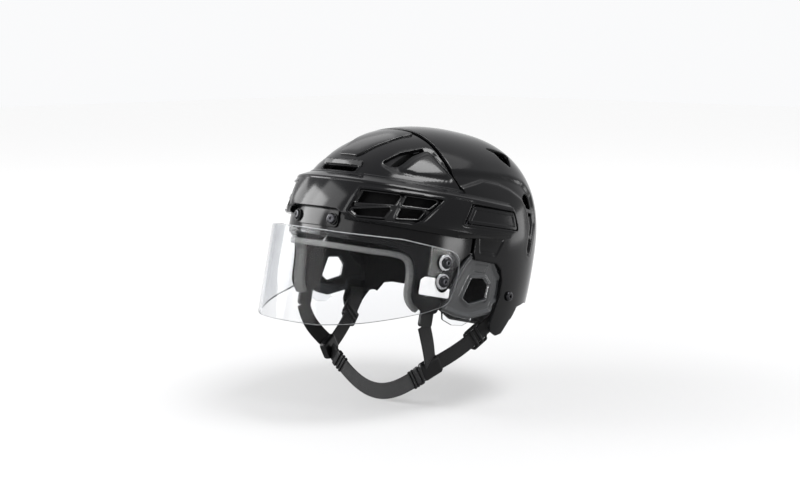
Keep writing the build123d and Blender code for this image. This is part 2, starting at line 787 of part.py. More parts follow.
def keeper_block(gap=0):
    """Keeper where three straps meet, or the room it needs with a gap round it."""
    outline = Plane.YZ * RectangleRounded(keeper_length + 2 * gap, keeper_height + 2 * gap, keeper_corner)
    block_half = keeper_wall / 2 + gap
    return Pos(junction_half, junction_y, junction_z) * extrude(outline, block_half, both=True)


def make_glide(plane):
    """Ladder frame that the left rear strap passes through."""
    frame = Box(web_width + 2 * glide_rim, glide_wall, glide_length)
    slot = Box(web_width + 2 * glide_slot_gap, web_wall + 2 * glide_slot_gap, glide_length + overrun)
    return plane * (frame - slot)


def make_clip():
    """Clip inside the left rear lobe that holds the end of the rear strap."""
    outline = box_points(clip_y - clip_length / 2, clip_y + clip_length / 2,
                         clip_z - clip_height / 2, clip_z + clip_height / 2)
    clip = side_piece(outline, rear_inner - clip_wall, rear_inner - seat_gap, clip_corner)
    return Rot(-pitch, 0, 0) * clip


def export_hanging(name, shape):
    """Write a hanging piece of the left side and its mirror image."""
    export_step(shape, "parts/" + name + "_left.step")
    export_step(mirrored(shape), "parts/" + name + "_right.step")


print("front shell")
front_shell = make_front_shell()
save("front_shell", front_shell)
print("rear shell")
save("rear_shell", make_rear_shell())

print("forehead, grilles and latches")
save("forehead_plate", make_brow_plate())
head_lift = grommet_wall + 2 * fit_gap
screws = [screw(plane, screw_head, screw_rise, screw_shank, brow_plate_wall + wall, screw_round, screw_socket,
                head_lift) for plane in front_planes()]
save("forehead_screws", screws[0] + screws[1])
grommets = [ring(plane, screw_head + grommet_width, screw_shank + 2 * fit_gap, grommet_wall, fit_gap)
            for plane in front_planes()]
save("forehead_grommets", grommets[0] + grommets[1])
save_pair("side_grille", make_grille())
save_pair("size_latch", make_latch())
low_pin, high_pin = latch_axis()
save_pair("latch_pin", rod(low_pin, high_pin, latch_pin, latch_pin_bite - latch_gap))

print("visor")
visor_hole = visor_screw_shank + 2 * fit_gap
save("visor", make_visor())
save("visor_blank_plate", make_visor_plate())
save_pair("visor_bushes", make_bushes())
washers = [ring(plane, washer_width, visor_hole, washer_wall, seat_gap) for plane in visor_planes()]
save_pair("visor_washers", washers[0] + washers[1])
head_lift = seat_gap + washer_wall + fit_gap
visor_screws = [screw(plane, visor_screw_head, visor_screw_rise, visor_screw_shank, visor_reach,
                      visor_screw_round, visor_screw_socket, head_lift) for plane in visor_planes()]
save_pair("visor_screws", visor_screws[0] + visor_screws[1])
nuts = [ring(plane, nut_width, visor_hole, nut_wall, -visor_reach) for plane in visor_planes()]
save_pair("visor_nuts", nuts[0] + nuts[1])

print("ear guards")
save_pair("ear_guard", make_guard())
save_pair("ear_guard_lip", make_lip())
save_pair("lobe_screw", screw(lobe_plane(), screw_head, screw_rise, screw_shank, lobe_screw_reach,
                              screw_round, screw_socket, fit_gap))

print("lining")
save("brow_pad", block(brow_wall, side_prism, share_points(brow_pad_shares), front_inner, foam))
brow_felt = brow_wall(front_inner - felt_depth, front_level)
save("brow_felt", brow_felt & side_prism(share_points(brow_felt_shares), felt_corner))
nut_rooms = [bore(plane, nut_width + 2 * seat_gap, visor_reach + seat_gap) for plane in visor_planes()]
save_pair("temple_pad", side_block(share_points(temple_pad_shares), front_inner, foam) - nut_rooms)
save_pair("temple_felt", side_piece(share_points(temple_felt_shares), front_inner - felt_depth,
                                    front_level - seat_gap, felt_corner))
save_pair("side_pad", side_block(share_points(side_pad_shares), rear_inner, foam))
save("nape_pad", block(nape_wall, back_prism, share_points(nape_pad_shares), rear_inner, foam))
crown_front = share_points(crown_front_shares)
save("crown_pad_front", block(crown_wall, side_prism, crown_front, front_inner, crown_foam))
crown_rear = share_points(crown_rear_shares)
save("crown_pad_rear", block(crown_wall, side_prism, crown_rear, rear_inner, crown_foam))

print("straps")
facing = Vector(1, 0, 0)
save_pair("snap_tab", make_tab())
tab_room = Rot(-pitch, 0, 0) * make_tab(seat_gap)
snap_z = tab_top - snap_width
snap_plane = Plane(origin=(tab_level + fit_gap, tab_y, snap_z), z_dir=facing)
snap_corner = (0, tab_y - snap_width / 2, snap_z - snap_width / 2)
snap_wall = dome_hit(snap_corner, facing, front_inner)[0] - tab_level - fit_gap - seat_gap
save_pair("snap_stud", ring(snap_plane, snap_width, snap_hole, snap_wall))
tab_foot = tipped(tab_level - tab_wall / 2, tab_y, tab_bottom - seat_gap)
keeper_top = Vector(junction_half, junction_y, junction_z + keeper_height / 2)
keeper_back = Vector(junction_half, junction_y + keeper_length / 2, junction_z + keeper_rear_rise)
keeper_room = keeper_block(seat_gap)
front_bow = Vector(0, -front_strap_bow, 0)
front_strap = webbing(strap_stations(tab_foot, keeper_top, front_bow, strap_count, facing))
export_hanging("front_strap", front_strap - [keeper_room, tab_room])
export_hanging("junction_keeper", keeper_block())
rear_end = Vector(rear_strap_half, rear_strap_y, rear_strap_z)
rear_bow = Vector(0, 0, -rear_strap_sag)
rear_strap = webbing(strap_stations(keeper_back, rear_end, rear_bow, strap_count, facing)) - keeper_room
export_hanging("rear_strap", rear_strap)
glide_planes = strap_stations(keeper_back, rear_end, rear_bow, glide_steps, facing)
export_hanging("tri_glide", make_glide(glide_planes[glide_place]))
export_hanging("strap_clip", make_clip())
chin_ends = [Vector(side * junction_half, junction_y, junction_z) for side in (-1, 1)]
chin_bow = Vector(0, -chin_bulge, -chin_sag)
chin_strap = webbing(strap_stations(*chin_ends, chin_bow, chin_count, Vector(0, 1, 0)))
chin_length = 2 * junction_half - keeper_wall - 2 * seat_gap
chin_room = Pos(0, junction_y, junction_z) * Box(chin_length, shell_length, shell_height)
export_step(chin_strap & chin_room, "parts/chin_strap.step")
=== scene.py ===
import bpy
import math
import numpy as np
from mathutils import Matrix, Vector


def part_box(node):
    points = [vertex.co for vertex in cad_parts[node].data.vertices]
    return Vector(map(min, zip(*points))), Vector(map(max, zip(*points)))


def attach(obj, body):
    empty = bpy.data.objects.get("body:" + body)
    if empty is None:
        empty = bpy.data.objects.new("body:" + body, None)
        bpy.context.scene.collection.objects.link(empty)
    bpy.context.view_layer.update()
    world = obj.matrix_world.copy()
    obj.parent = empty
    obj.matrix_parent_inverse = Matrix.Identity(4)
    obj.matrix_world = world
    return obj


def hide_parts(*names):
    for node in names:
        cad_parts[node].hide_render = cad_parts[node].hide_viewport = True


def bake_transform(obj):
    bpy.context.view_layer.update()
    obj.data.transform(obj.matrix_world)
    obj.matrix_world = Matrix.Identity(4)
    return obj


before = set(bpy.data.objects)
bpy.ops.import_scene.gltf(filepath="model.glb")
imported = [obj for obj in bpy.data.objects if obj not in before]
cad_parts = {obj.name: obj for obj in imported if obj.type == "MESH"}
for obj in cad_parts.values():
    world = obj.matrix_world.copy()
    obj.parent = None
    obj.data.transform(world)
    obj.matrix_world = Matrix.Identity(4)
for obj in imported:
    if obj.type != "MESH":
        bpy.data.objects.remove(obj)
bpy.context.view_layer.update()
print("frame loaded")

# The rigid helmet is worked out level, in millimetres, and then tipped back by the pitch.
helmet = {
    "pitch": 13.0,
    "halfWidth": 106.0, "frontReach": 155.0, "rearReach": 105.0, "domeY": 25.0, "domeZ": -18.0,
    "crownRise": 115.5, "cheekReach": 330.0, "napeReach": 130.0,
    "planRoundness": 2.22, "frontRoundness": 2.05, "rearRoundness": 2.57,
    "earY": 1.0, "earZ": -56.0,
    "length": 260.0, "height": 195.0,
    "frontLevel": -1.5, "frontInner": -4.5, "rearLevel": 0.5, "rearInner": -2.2,
}
bothSides = ((1, "left"), (-1, "right"))  # the wearer's left is along X
farOff = 99.0  # a field's value on the half of the dome that its outline doesn't reach


# Level millimetres to tipped metres: a turn about X by the pitch.
def tipped(points):
    angle = math.radians(helmet["pitch"])
    c, s = math.cos(angle), math.sin(angle)
    x, y, z = np.moveaxis(np.asarray(points, float), -1, 0)
    return np.stack([x, y * c + z * s, z * c - y * s], -1) / 1000


# The dome: a superellipse in plan whose radius shrinks upward and downward as another superellipse.
# The value is one on the surface and less inside; grow moves the surface outward.
def domeValue(points, grow):
    h = helmet
    dx = np.abs(points[..., 0])
    dy = points[..., 1] - h["domeY"]
    dz = points[..., 2] - h["domeZ"]
    rearward = 0.5 + 0.5 * dy / np.maximum(np.hypot(dx, dy), 1e-6)
    reach = np.where(dy > 0, h["rearReach"], h["frontReach"]) + grow
    fall = h["cheekReach"] + (h["napeReach"] - h["cheekReach"]) * rearward
    rise = np.where(dz > 0, h["crownRise"] + grow, fall)
    roundness = h["frontRoundness"] + (h["rearRoundness"] - h["frontRoundness"]) * rearward
    p = h["planRoundness"]
    plan = ((dx / (h["halfWidth"] + grow)) ** p + (np.abs(dy) / reach) ** p) ** (1 / p)
    return (plan ** roundness + (np.abs(dz) / rise) ** roundness) ** (1 / roundness)


# Where rays from inside meet the dome, by halving the stretch up to a reach over and over.
def domeHit(start, way, grow, reach=400.0, halvings=34):
    near = np.zeros(way.shape[:-1])
    far = np.full(way.shape[:-1], reach)
    for _ in range(halvings):
        middle = (near + far) / 2
        inside = domeValue(start + way * middle[..., None], grow) < 1
        near, far = np.where(inside, middle, near), np.where(inside, far, middle)
    return start + way * near[..., None]


# Rays of hoops over the head that all pass through both ears, by turn and lean in degrees.
def hoopRays(turn, lean):
    turn, lean = np.radians(turn), np.radians(lean)
    way = np.stack([np.sin(lean), -np.cos(lean) * np.cos(turn), np.cos(lean) * np.sin(turn)], -1)
    return np.array([0, helmet["earY"], helmet["earZ"]]), way


# Level rays out of the upright middle line, by turn in degrees and height.
def levelRays(turn, height):
    turn = np.radians(turn)
    start = np.stack([0 * height, 0 * height + helmet["domeY"], height], -1)
    return start, np.stack([np.sin(turn), -np.cos(turn), 0 * turn], -1)


# Rays straight out to one side, by y and height.
def sideRays(y, z, side=1):
    return np.stack([0 * y, y, z], -1), np.stack([0 * y + side, 0 * y, 0 * y], -1)


# Points given as shares of a length and a height, the helmet's unless others are given, moved along and up.
def sharePoints(shares, length=helmet["length"], height=helmet["height"], along=0, up=0):
    return [(along + a * length, up + b * height) for a, b in shares]


# Rounded outlines of a part, one for each radius that it lists.
def outlinesOf(part, *box):
    return [roundOutline(sharePoints(part[key], *box), radius) for key, radius in part["radii"].items()]


# Outline with each corner replaced by an arc of the given radius, or by what its sides allow.
def roundOutline(points, radius, steps=6):
    points = np.asarray(points, float)
    out = []
    for k in range(len(points)):
        here, back, ahead = points[k], points[k - 1], points[(k + 1) % len(points)]
        a, b = back - here, ahead - here
        la, lb = np.linalg.norm(a), np.linalg.norm(b)
        a, b = a / la, b / lb
        half = math.acos(max(-1, min(1, a @ b))) / 2
        cut = min(radius / math.tan(half), 0.45 * la, 0.45 * lb) if half < 1.5 else 0
        if cut < 0.05:
            out.append(here)
            continue
        r = cut * math.tan(half)
        centre = here + (a + b) / np.linalg.norm(a + b) * r / math.sin(half)
        start, end = here + a * cut - centre, here + b * cut - centre
        sweep = math.atan2(start[0] * end[1] - start[1] * end[0], start @ end)
        for share in np.linspace(0, 1, steps):
            c, s = math.cos(sweep * share), math.sin(sweep * share)
            out.append(centre + np.array([start[0] * c - start[1] * s, start[0] * s + start[1] * c]))
    return np.array(out)


# Signed distance to a closed outline: below zero inside, above zero outside.
def outlineField(outline, a, b):
    outline = np.asarray(outline, float)
    nearest = np.full(a.shape, 1e9)
    crossings = np.zeros(a.shape, int)
    for (x0, y0), (x1, y1) in zip(outline, np.roll(outline, -1, 0)):
        dx, dy = x1 - x0, y1 - y0
        share = np.clip(((a - x0) * dx + (b - y0) * dy) / max(dx * dx + dy * dy, 1e-12), 0, 1)
        nearest = np.minimum(nearest, (a - x0 - share * dx) ** 2 + (b - y0 - share * dy) ** 2)
        if dy:
            crossings += ((y0 > b) != (y1 > b)) & (a < x0 + (b - y0) * dx / dy)
    return np.sqrt(nearest) * np.where(crossings % 2 == 1, -1, 1)


# Distance to an outline seen from the side, from a front quarter, from the front, the back and above; the last
# three count on their own half of the dome only.
def sideField(points, outline):
    return outlineField(outline, points[..., 1], points[..., 2])


def quarterField(points, outline):
    return outlineField(outline, (np.abs(points[..., 0]) + points[..., 1]) / math.sqrt(2), points[..., 2])


def frontField(points, outline):
    field = outlineField(outline, np.abs(points[..., 0]), points[..., 2])
    return np.where(points[..., 1] < helmet["domeY"], field, farOff)


def rearField(points, outline):
    field = outlineField(outline, points[..., 0], points[..., 2])
    return np.where(points[..., 1] > helmet["domeY"], field, farOff)


def planField(points, outline):
    field = outlineField(outline, np.abs(points[..., 0]), points[..., 1])
    return np.where(points[..., 2] > 0, field, farOff)


def unit(vectors):
    return vectors / np.maximum(np.linalg.norm(vectors, axis=-1, keepdims=True), 1e-9)


def addObject(name, data):
    obj = bpy.data.objects.new(name, data)
    bpy.context.scene.collection.objects.link(obj)
    return obj


# A smooth step from one to nought over a width, centred on the edge of a field.
def soften(field, width):
    share = np.clip(0.5 - field / width, 0, 1)
    return share * share * (3 - 2 * share)


# Grid points beside the zero line of a field slide onto it, each towards its nearest crossing.
def snapGrid(field):
    rows, cols = field.shape
    grid = np.stack(np.meshgrid(np.arange(rows, dtype=float), np.arange(cols, dtype=float), indexing="ij"))
    best = np.full(field.shape, 0.5)
    shift = np.zeros_like(grid)
    for axis, step in ((0, 1), (0, -1), (1, 1), (1, -1)):
        other = np.roll(field, -step, axis)
        edge = [slice(None)] * 2
        edge[axis] = -1 if step > 0 else 0
        other[tuple(edge)] = field[tuple(edge)]
        with np.errstate(divide="ignore", invalid="ignore"):
            share = field / (field - other)
        closer = (field * other < 0) & (share <= best)
        best = np.where(closer, share, best)
        for k in (0, 1):
            shift[k] = np.where(closer, step * share if k == axis else 0, shift[k])
    moved = (shift != 0).any(0)
    return grid + shift, np.where(moved, 0, field)


# Faces of the grid that lie inside the field, with a triangle where the line cuts a corner off.
def keptFaces(field, snapped):
    rows, cols = field.shape
    index = np.arange(rows * cols).reshape(rows, cols)
    ids = np.stack([index[:-1, :-1], index[1:, :-1], index[1:, 1:], index[:-1, 1:]], -1)
    signs = np.sign(snapped).ravel()[ids]
    middle = field.ravel()[ids].mean(-1) < 0
    whole = (signs <= 0).all(-1) & ((signs < 0).any(-1) | middle)
    quads = ids[whole]
    triangles = []
    for k in range(4):
        cut = (signs[..., k] < 0) & (signs[..., (k + 2) % 4] > 0)
        triangles.append(ids[cut][:, [k, (k + 1) % 4, (k - 1) % 4]])
    return quads, np.concatenate(triangles)


def makeMesh(name, points, faces, uv=None, sharpAngle=38):
    mesh = bpy.data.meshes.new(name)
    counts = np.concatenate([np.full(len(f), f.shape[1]) for f in faces])
    loops = np.concatenate([f.ravel() for f in faces])
    starts = np.concatenate([[0], np.cumsum(counts)[:-1]])
    mesh.vertices.add(len(points))
    mesh.vertices.foreach_set("co", np.asarray(points, np.float32).ravel())
    mesh.loops.add(len(loops))
    mesh.loops.foreach_set("vertex_index", loops.astype(np.int32))
    mesh.polygons.add(len(counts))
    mesh.polygons.foreach_set("loop_start", starts.astype(np.int32))
    mesh.polygons.foreach_set("loop_total", counts.astype(np.int32))
    mesh.update(calc_edges=True)
    if uv is not None:
        layer = mesh.uv_layers.new(name="UVMap")
        layer.data.foreach_set("uv", np.asarray(uv, np.float32)[loops].ravel())
    mesh.validate()
    mesh.shade_smooth()
    mesh.set_sharp_from_angle(angle=math.radians(sharpAngle))
    return addObject(name, mesh)


# A wall between an outer and an inner surface over one grid, trimmed by a field and closed by a rounded rim.
# The surface gives outer and inner points for grid rows and columns.
def wallPiece(name, shape, surface, fieldOf, rim, edgeMat=None):
    rows, cols = np.meshgrid(*(np.arange(n, dtype=float) for n in shape), indexing="ij")
    field = fieldOf(surface(rows, cols)[0])
    grid, snapped = snapGrid(field)
    quads, triangles = keptFaces(field, snapped)
    used = np.unique(np.concatenate([quads.ravel(), triangles.ravel()]))
    lookup = np.full(field.size, -1)
    lookup[used] = np.arange(len(used))
    quads, triangles = lookup[quads], lookup[triangles]
    outer, inner = (p.reshape(-1, 3)[used] for p in surface(grid[0], grid[1]))
    count = len(used)
    a, b, c = (outer[quads[:, k]] for k in range(3))
    if (np.cross(b - a, c - a) * (a - inner[quads[:, 0]])).sum() < 0:
        quads, triangles = quads[:, ::-1], triangles[:, ::-1]
    heads = np.concatenate([quads.ravel(), triangles.ravel()])
    tails = np.concatenate([np.roll(quads, -1, 1).ravel(), np.roll(triangles, -1, 1).ravel()])
    edge = ~np.isin(heads * count + tails, tails * count + heads)
    heads, tails = heads[edge], tails[edge]
    normal = np.zeros_like(outer)
    for face in (quads, triangles):
        a, b, c = (outer[face[:, k]] for k in range(3))
        for k in range(face.shape[1]):
            np.add.at(normal, face[:, k], np.cross(b - a, c - a))
    normal = unit(normal)
    inward = np.zeros_like(outer)
    along = unit(outer[tails] - outer[heads])
    for ends in (heads, tails):
        np.add.at(inward, ends, np.cross(normal[ends], along))
    inward = unit(inward)
    border = np.unique(heads)
    spot = np.full(count, -1)
    spot[border] = np.arange(len(border))
    points = [outer.copy(), inner]
    points[0][border] += inward[border] * rim
    rings = [border]
    for angle in np.radians((29.7, 60.3, 90.0)):  # the rim turns down in three steps
        points.append(outer[border] + inward[border] * rim * (1 - math.sin(angle))
                      - normal[border] * rim * (1 - math.cos(angle)))
        rings.append(2 * count + (len(rings) - 1) * len(border) + np.arange(len(border)))
    rings.append(border + count)
    sides = [np.stack([low[spot[tails]], low[spot[heads]], high[spot[heads]], high[spot[tails]]], 1)
             for low, high in zip(rings[:-1], rings[1:])]
    faces = [quads, triangles, quads[:, ::-1] + count, triangles[:, ::-1] + count] + sides
    piece = makeMesh(name, tipped(np.concatenate(points)), faces)
    if edgeMat:
        inside = 2 * (len(quads) + len(triangles))
        for mat in edgeMat:
            piece.data.materials.append(mat)
        kinds = (np.arange(len(piece.data.polygons)) >= inside).astype(np.int32)
        piece.data.polygons.foreach_set("material_index", kinds)
    return piece


# Value at a step of a count that runs from one end of a span to the other.
def between(span, step, count):
    return span[0] + (span[1] - span[0]) * step / (count - 1)


# Points where rays meet the levels of the dome. A level is a number or a function of the place, and the shift
# carries the whole dome rearwards.
def levelPoints(rays, levels, shift=0):
    start, way = rays
    move = np.array([0, shift, 0])
    out = []
    for level in levels:
        if callable(level):
            level = level(domeHit(start - move, way, 0) + move)
        out.append(domeHit(start - move, way, level) + move)
    return out


# Wall over a dome patch, given by its turns, leans and grid, between an outer and an inner level.
def hoopPiece(name, patch, levels, fieldOf, rim, shift=0):
    turns, leans, shape = patch

    def surface(rows, cols):
        rays = hoopRays(between(turns, rows, shape[0]), between(leans, cols, shape[1]))
        return levelPoints(rays, levels, shift)

    return wallPiece(name, shape, surface, fieldOf, rim)


# Wall over a patch of one side by y and height, a margin wider than an outline, between two levels.
def sidePiece(name, outline, side, shape, levels, fieldOf, rim, margin=2):
    (lowY, lowZ), (highY, highZ) = outline.min(0) - margin, outline.max(0) + margin

    def surface(rows, cols):
        return levelPoints(sideRays(between((lowY, highY), rows, shape[0]),
                                    between((lowZ, highZ), cols, shape[1]), side), levels)

    return wallPiece(name, shape, surface, fieldOf, rim)


# A closed tube through rings of points, with a fan over each end; wrap joins the last ring to the first.
def tubePiece(name, rings, wrap=False, uv=None):
    rings = np.asarray(rings, float)
    count, around = rings.shape[:2]
    index = np.arange(count * around).reshape(count, around)
    ahead = np.roll(index, -1, 0) if wrap else index[1:]
    start = index if wrap else index[:-1]
    quads = np.stack([start, np.roll(start, -1, 1), np.roll(ahead, -1, 1), ahead], -1).reshape(-1, 4)
    points = rings.reshape(-1, 3)
    fans = np.zeros((0, 3), int)
    if not wrap:
        points = np.concatenate([points, rings[[0, -1]].mean(1)])
        first, last = index[0], index[-1]
        low, high = np.full(around, count * around), np.full(around, count * around + 1)
        fans = np.concatenate([np.stack([np.roll(first, -1), first, low], 1),
                               np.stack([last, np.roll(last, -1), high], 1)])
    triangles = np.concatenate([quads[:, :3], quads[:, [0, 2, 3]], fans])
    a, b, c = (points[triangles[:, k]] for k in range(3))
    if (a * np.cross(b, c)).sum() < 0:
        quads, fans = quads[:, ::-1], fans[:, ::-1]
    if uv is not None:
        uv = np.concatenate([uv.reshape(-1, 2), np.zeros((len(points) - count * around, 2))])
    return makeMesh(name, points / 1000, [quads, fans] if len(fans) else [quads], uv)


# Directions along a way, across it and square to both; the one across is square to the facing direction.
def crossAxes(way, facing=None):
    way = unit(np.asarray(way, float))
    if facing is None:
        facing = (0, 0, 1) if abs(way[2]) < 0.9 else (1, 0, 0)
    across = unit(np.cross(way, facing))
    return way, across, np.cross(way, across)


# A profile of (radius, height, share of a hexagon) turned about an axis in the level frame.
def turnedPiece(name, profile, origin, axis, segments=48, wrap=False):
    axis, first, second = crossAxes(axis)
    angle = np.linspace(0, 2 * math.pi, segments, endpoint=False)
    hexagon = math.cos(math.pi / 6) / np.cos((angle + math.pi / 6) % (math.pi / 3) - math.pi / 6)
    rings = []
    for radius, height, share in profile:
        r = radius * (1 + share * (hexagon - 1))
        rings.append(np.asarray(origin) + axis * height + first * (r * np.cos(angle))[:, None]
                     + second * (r * np.sin(angle))[:, None])
    return tubePiece(name, tipped(np.array(rings)) * 1000, wrap)


def joinPieces(name, pieces):
    with bpy.context.temp_override(active_object=pieces[0], selected_editable_objects=pieces):
        bpy.ops.object.join()
    pieces[0].name = name
    return pieces[0]


# Shader helpers. Every pattern reads Object coordinates or the piece's own UV map.
# An input, by its name or number, takes a value or is joined to a socket.
def setInputs(tree, node, inputs):
    for key, value in inputs.items():
        if isinstance(value, bpy.types.NodeSocket):
            tree.links.new(value, node.inputs[key])
        else:
            node.inputs[key].default_value = value


def newMaterial(name, baseColor, roughness):
    mat = bpy.data.materials.new(name)
    mat.use_nodes = True
    shader = mat.node_tree.nodes["Principled BSDF"]
    shader.inputs["Base Color"].default_value = (*baseColor, 1)
    shader.inputs["Roughness"].default_value = roughness
    return mat, mat.node_tree, shader


def mathNode(tree, operation, *values):
    return addNode(tree, "Math", dict(enumerate(values)), operation=operation)[0]


def mixColor(tree, share, first, second):
    return addNode(tree, "Mix", {0: share, 6: (*first, 1), 7: (*second, 1)}, data_type="RGBA")[2]


def addNode(tree, kind, inputs, **attributes):
    node = tree.nodes.new("ShaderNode" + kind)
    for key, value in attributes.items():
        setattr(node, key, value)
    setInputs(tree, node, inputs)
    return node.outputs


# Noise of a given scale on Object coordinates, mapped to a range between two values.
def noiseRange(tree, scale, low, high, detail=3.0):
    coord = addNode(tree, "TexCoord", {})["Object"]
    noise = addNode(tree, "TexNoise", {"Vector": coord, "Scale": scale, "Detail": detail})["Fac"]
    spread = {"Value": noise, "From Min": 0.3, "From Max": 0.7, "To Min": low, "To Max": high}
    return addNode(tree, "MapRange", spread)["Result"], noise


def addBump(tree, shader, height, distance, strength):
    bump = addNode(tree, "Bump", {"Height": height, "Distance": distance, "Strength": strength})
    tree.links.new(bump["Normal"], shader.inputs["Normal"])


plastics = {  # color, smooth and dull roughness, specular level, scale of the ripple
    "glossyShell": ((0.004, 0.004, 0.0045), 0.12, 0.17, 0.13, 22.0),
    "satinTrim": ((0.006, 0.006, 0.0065), 0.3, 0.42, 0.15, 60.0),
    "ventInsert": ((0.004, 0.004, 0.0045), 0.16, 0.26, 0.22, 60.0),
    "softRubber": ((0.005, 0.005, 0.0055), 0.34, 0.5, 0.3, 80.0),
}


# Moulded plastic: gloss that wanders a little, over a faint long ripple as moulding leaves.
def plasticMaterial(name, color, smooth, dull, specular, waves, glossScale=35.0):
    mat, tree, shader = newMaterial(name, color, smooth)
    gloss, _ = noiseRange(tree, glossScale, smooth, dull)
    setInputs(tree, shader, {"Specular IOR Level": specular, "Roughness": gloss})
    _, wave = noiseRange(tree, waves, 0, 1, 1.0)
    addBump(tree, shader, wave, 0.00002, 0.4)
    return mat


shellBlack, trimBlack, grilleBlack, rubberBlack = (
    plasticMaterial(name, *look) for name, look in plastics.items())


def dress(name, mat):
    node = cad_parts[name]
    node.data.materials.clear()
    node.data.materials.append(mat)
    for poly in node.data.polygons:
        poly.material_index = 0


def place(obj, body, slot, mat, *replaced):
    if not obj.data.materials:
        obj.data.materials.append(mat)
    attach(obj, body)
    if replaced:
        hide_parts(*replaced)


frontShell = {
    "edge": ((-0.165, 0.54), (-0.165, 0.318), (-0.154, 0.246), (-0.119, 0.149), (-0.073, -0.041),
             (-0.073, -0.118), (-0.104, -0.159), (-0.127, -0.205), (-0.169, -0.431), (-0.219, -0.446),
             (-0.241, -0.421), (-0.264, -0.397), (-0.274, -0.37), (-0.275, -0.297), (-0.278, -0.25),
             (-0.284, -0.215), (-0.297, -0.187), (-0.316, -0.168), (-0.34, -0.158), (-0.369, -0.15),
             (-0.56, -0.149), (-0.56, 0.54)),
    "edgeRadius": 4.0, "patch": ((-46, 84), (-78, 78), (150, 170)),  # turns, leans, grid
    "slot": ((-23, 35), (23, 35), (23, 41), (-23, 41)), "slotRadius": 2.0,
    "tear": ((0.0, 0.23), (0.22, 0.63), (0.58, 1.0), (0.67, 0.95), (1.0, 0.23), (0.94, 0.08), (0.51, 0.0),
             (0.26, 0.03)),
    "slit": ((0.03, 0.25), (0.25, 0.66), (0.56, 0.965), (0.585, 0.9), (0.42, 0.63), (0.31, 0.32), (0.24, 0.17),
             (0.12, 0.17)),
    "bulge": ((0.28, 0.11), (0.34, 0.31), (0.46, 0.64), (0.62, 0.93), (0.985, 0.22), (0.91, 0.09),
              (0.51, 0.035)),
    "radii": {"tear": 3.0, "slit": 1.5, "bulge": 4.0},
    "tearBox": (72.0, 30.0, -40.0, 40.0),  # length, height, along, up
    "tearEdge": 2.2, "tearDepth": 1.4, "bulgeRise": 0.5, "bulgeRound": 5.0,
    "grille": ((-0.4, 0.43), (0.5, 0.5), (0.3, -0.26), (0.21, -0.43), (-0.4, -0.5), (-0.5, -0.33)),
    "grilleBox": (86.0, 29.0, -18.0, 6.5),
}


def makeFrontShell():
    f = frontShell
    edge, slot = roundOutline(sharePoints(f["edge"]), f["edgeRadius"]), roundOutline(f["slot"], f["slotRadius"])
    tear, slit, bulge = outlinesOf(f, *f["tearBox"])
    grille = sharePoints(f["grille"], *f["grilleBox"])

    # The tear recess sinks by its depth over a soft edge, and its panel swells back out.
    def outer(p):
        sunk = soften(quarterField(p, tear), f["tearEdge"]) * f["tearDepth"]
        swell = np.clip(-quarterField(p, bulge) / f["bulgeRound"], 0, 1)
        return helmet["frontLevel"] - sunk + (f["tearDepth"] + f["bulgeRise"]) * np.sqrt(1 - (1 - swell) ** 2)

    def field(p):
        holes = np.minimum(frontField(p, slot), quarterField(p, slit))
        return np.maximum(sideField(p, edge), -np.minimum(holes, quarterField(p, grille)))

    shell = hoopPiece("front_shell_dome", f["patch"], (outer, helmet["frontInner"]), field, 0.5)
    place(shell, "front", "black_shell", shellBlack, "front_shell")


crownPanel = {
    "half": ((-0.385, 0.045), (-0.37, 0.058), (-0.28, 0.09), (-0.215, 0.1), (-0.172, 0.115)), "radius": 5.0,
    "patch": ((30, 82), (-24, 24), (110, 100)), "rise": 1.8, "root": -1.0, "rim": 1.5,
}


# Low panel along the crown at one level over the shell, its outline mirrored about the middle.
def makeCrownPanel():
    c, level = crownPanel, helmet["frontLevel"]
    half = [(b * helmet["length"], a * helmet["length"]) for a, b in c["half"]]
    outline = roundOutline(half + [(-x, y) for x, y in reversed(half)], c["radius"])
    panel = hoopPiece("crown_panel", c["patch"], (level + c["rise"], level + c["root"]),
                      lambda p: outlineField(outline, p[..., 0], p[..., 1]), c["rim"])
    place(panel, "front", "black_shell", shellBlack)


slotHood = {
    "outline": ((-26, 35), (26, 35), (26, 47), (-26, 47)), "radius": 2.0,
    "patch": ((27, 52), (-20, 20), (90, 150)), "rise": 0.5, "lean": 2.7, "leanFrom": 41.0, "leanOver": 4.2,
    "root": -1.0, "rim": 1.0,
}


# Hood round the slot: its level climbs in a straight line above the slot's upper edge, up to a highest lean.
def makeSlotHood():
    h, level = slotHood, helmet["frontLevel"]
    outer = roundOutline(h["outline"], h["radius"])
    slot = roundOutline(frontShell["slot"], frontShell["slotRadius"])
    lean = lambda p: level + h["rise"] + h["lean"] * np.clip((p[..., 2] - h["leanFrom"]) / h["leanOver"], 0, 1)
    hood = hoopPiece("slot_hood", h["patch"], (lean, level + h["root"]),
                     lambda p: np.maximum(frontField(p, outer), -frontField(p, slot)), h["rim"])
    place(hood, "front", "black_shell", shellBlack)


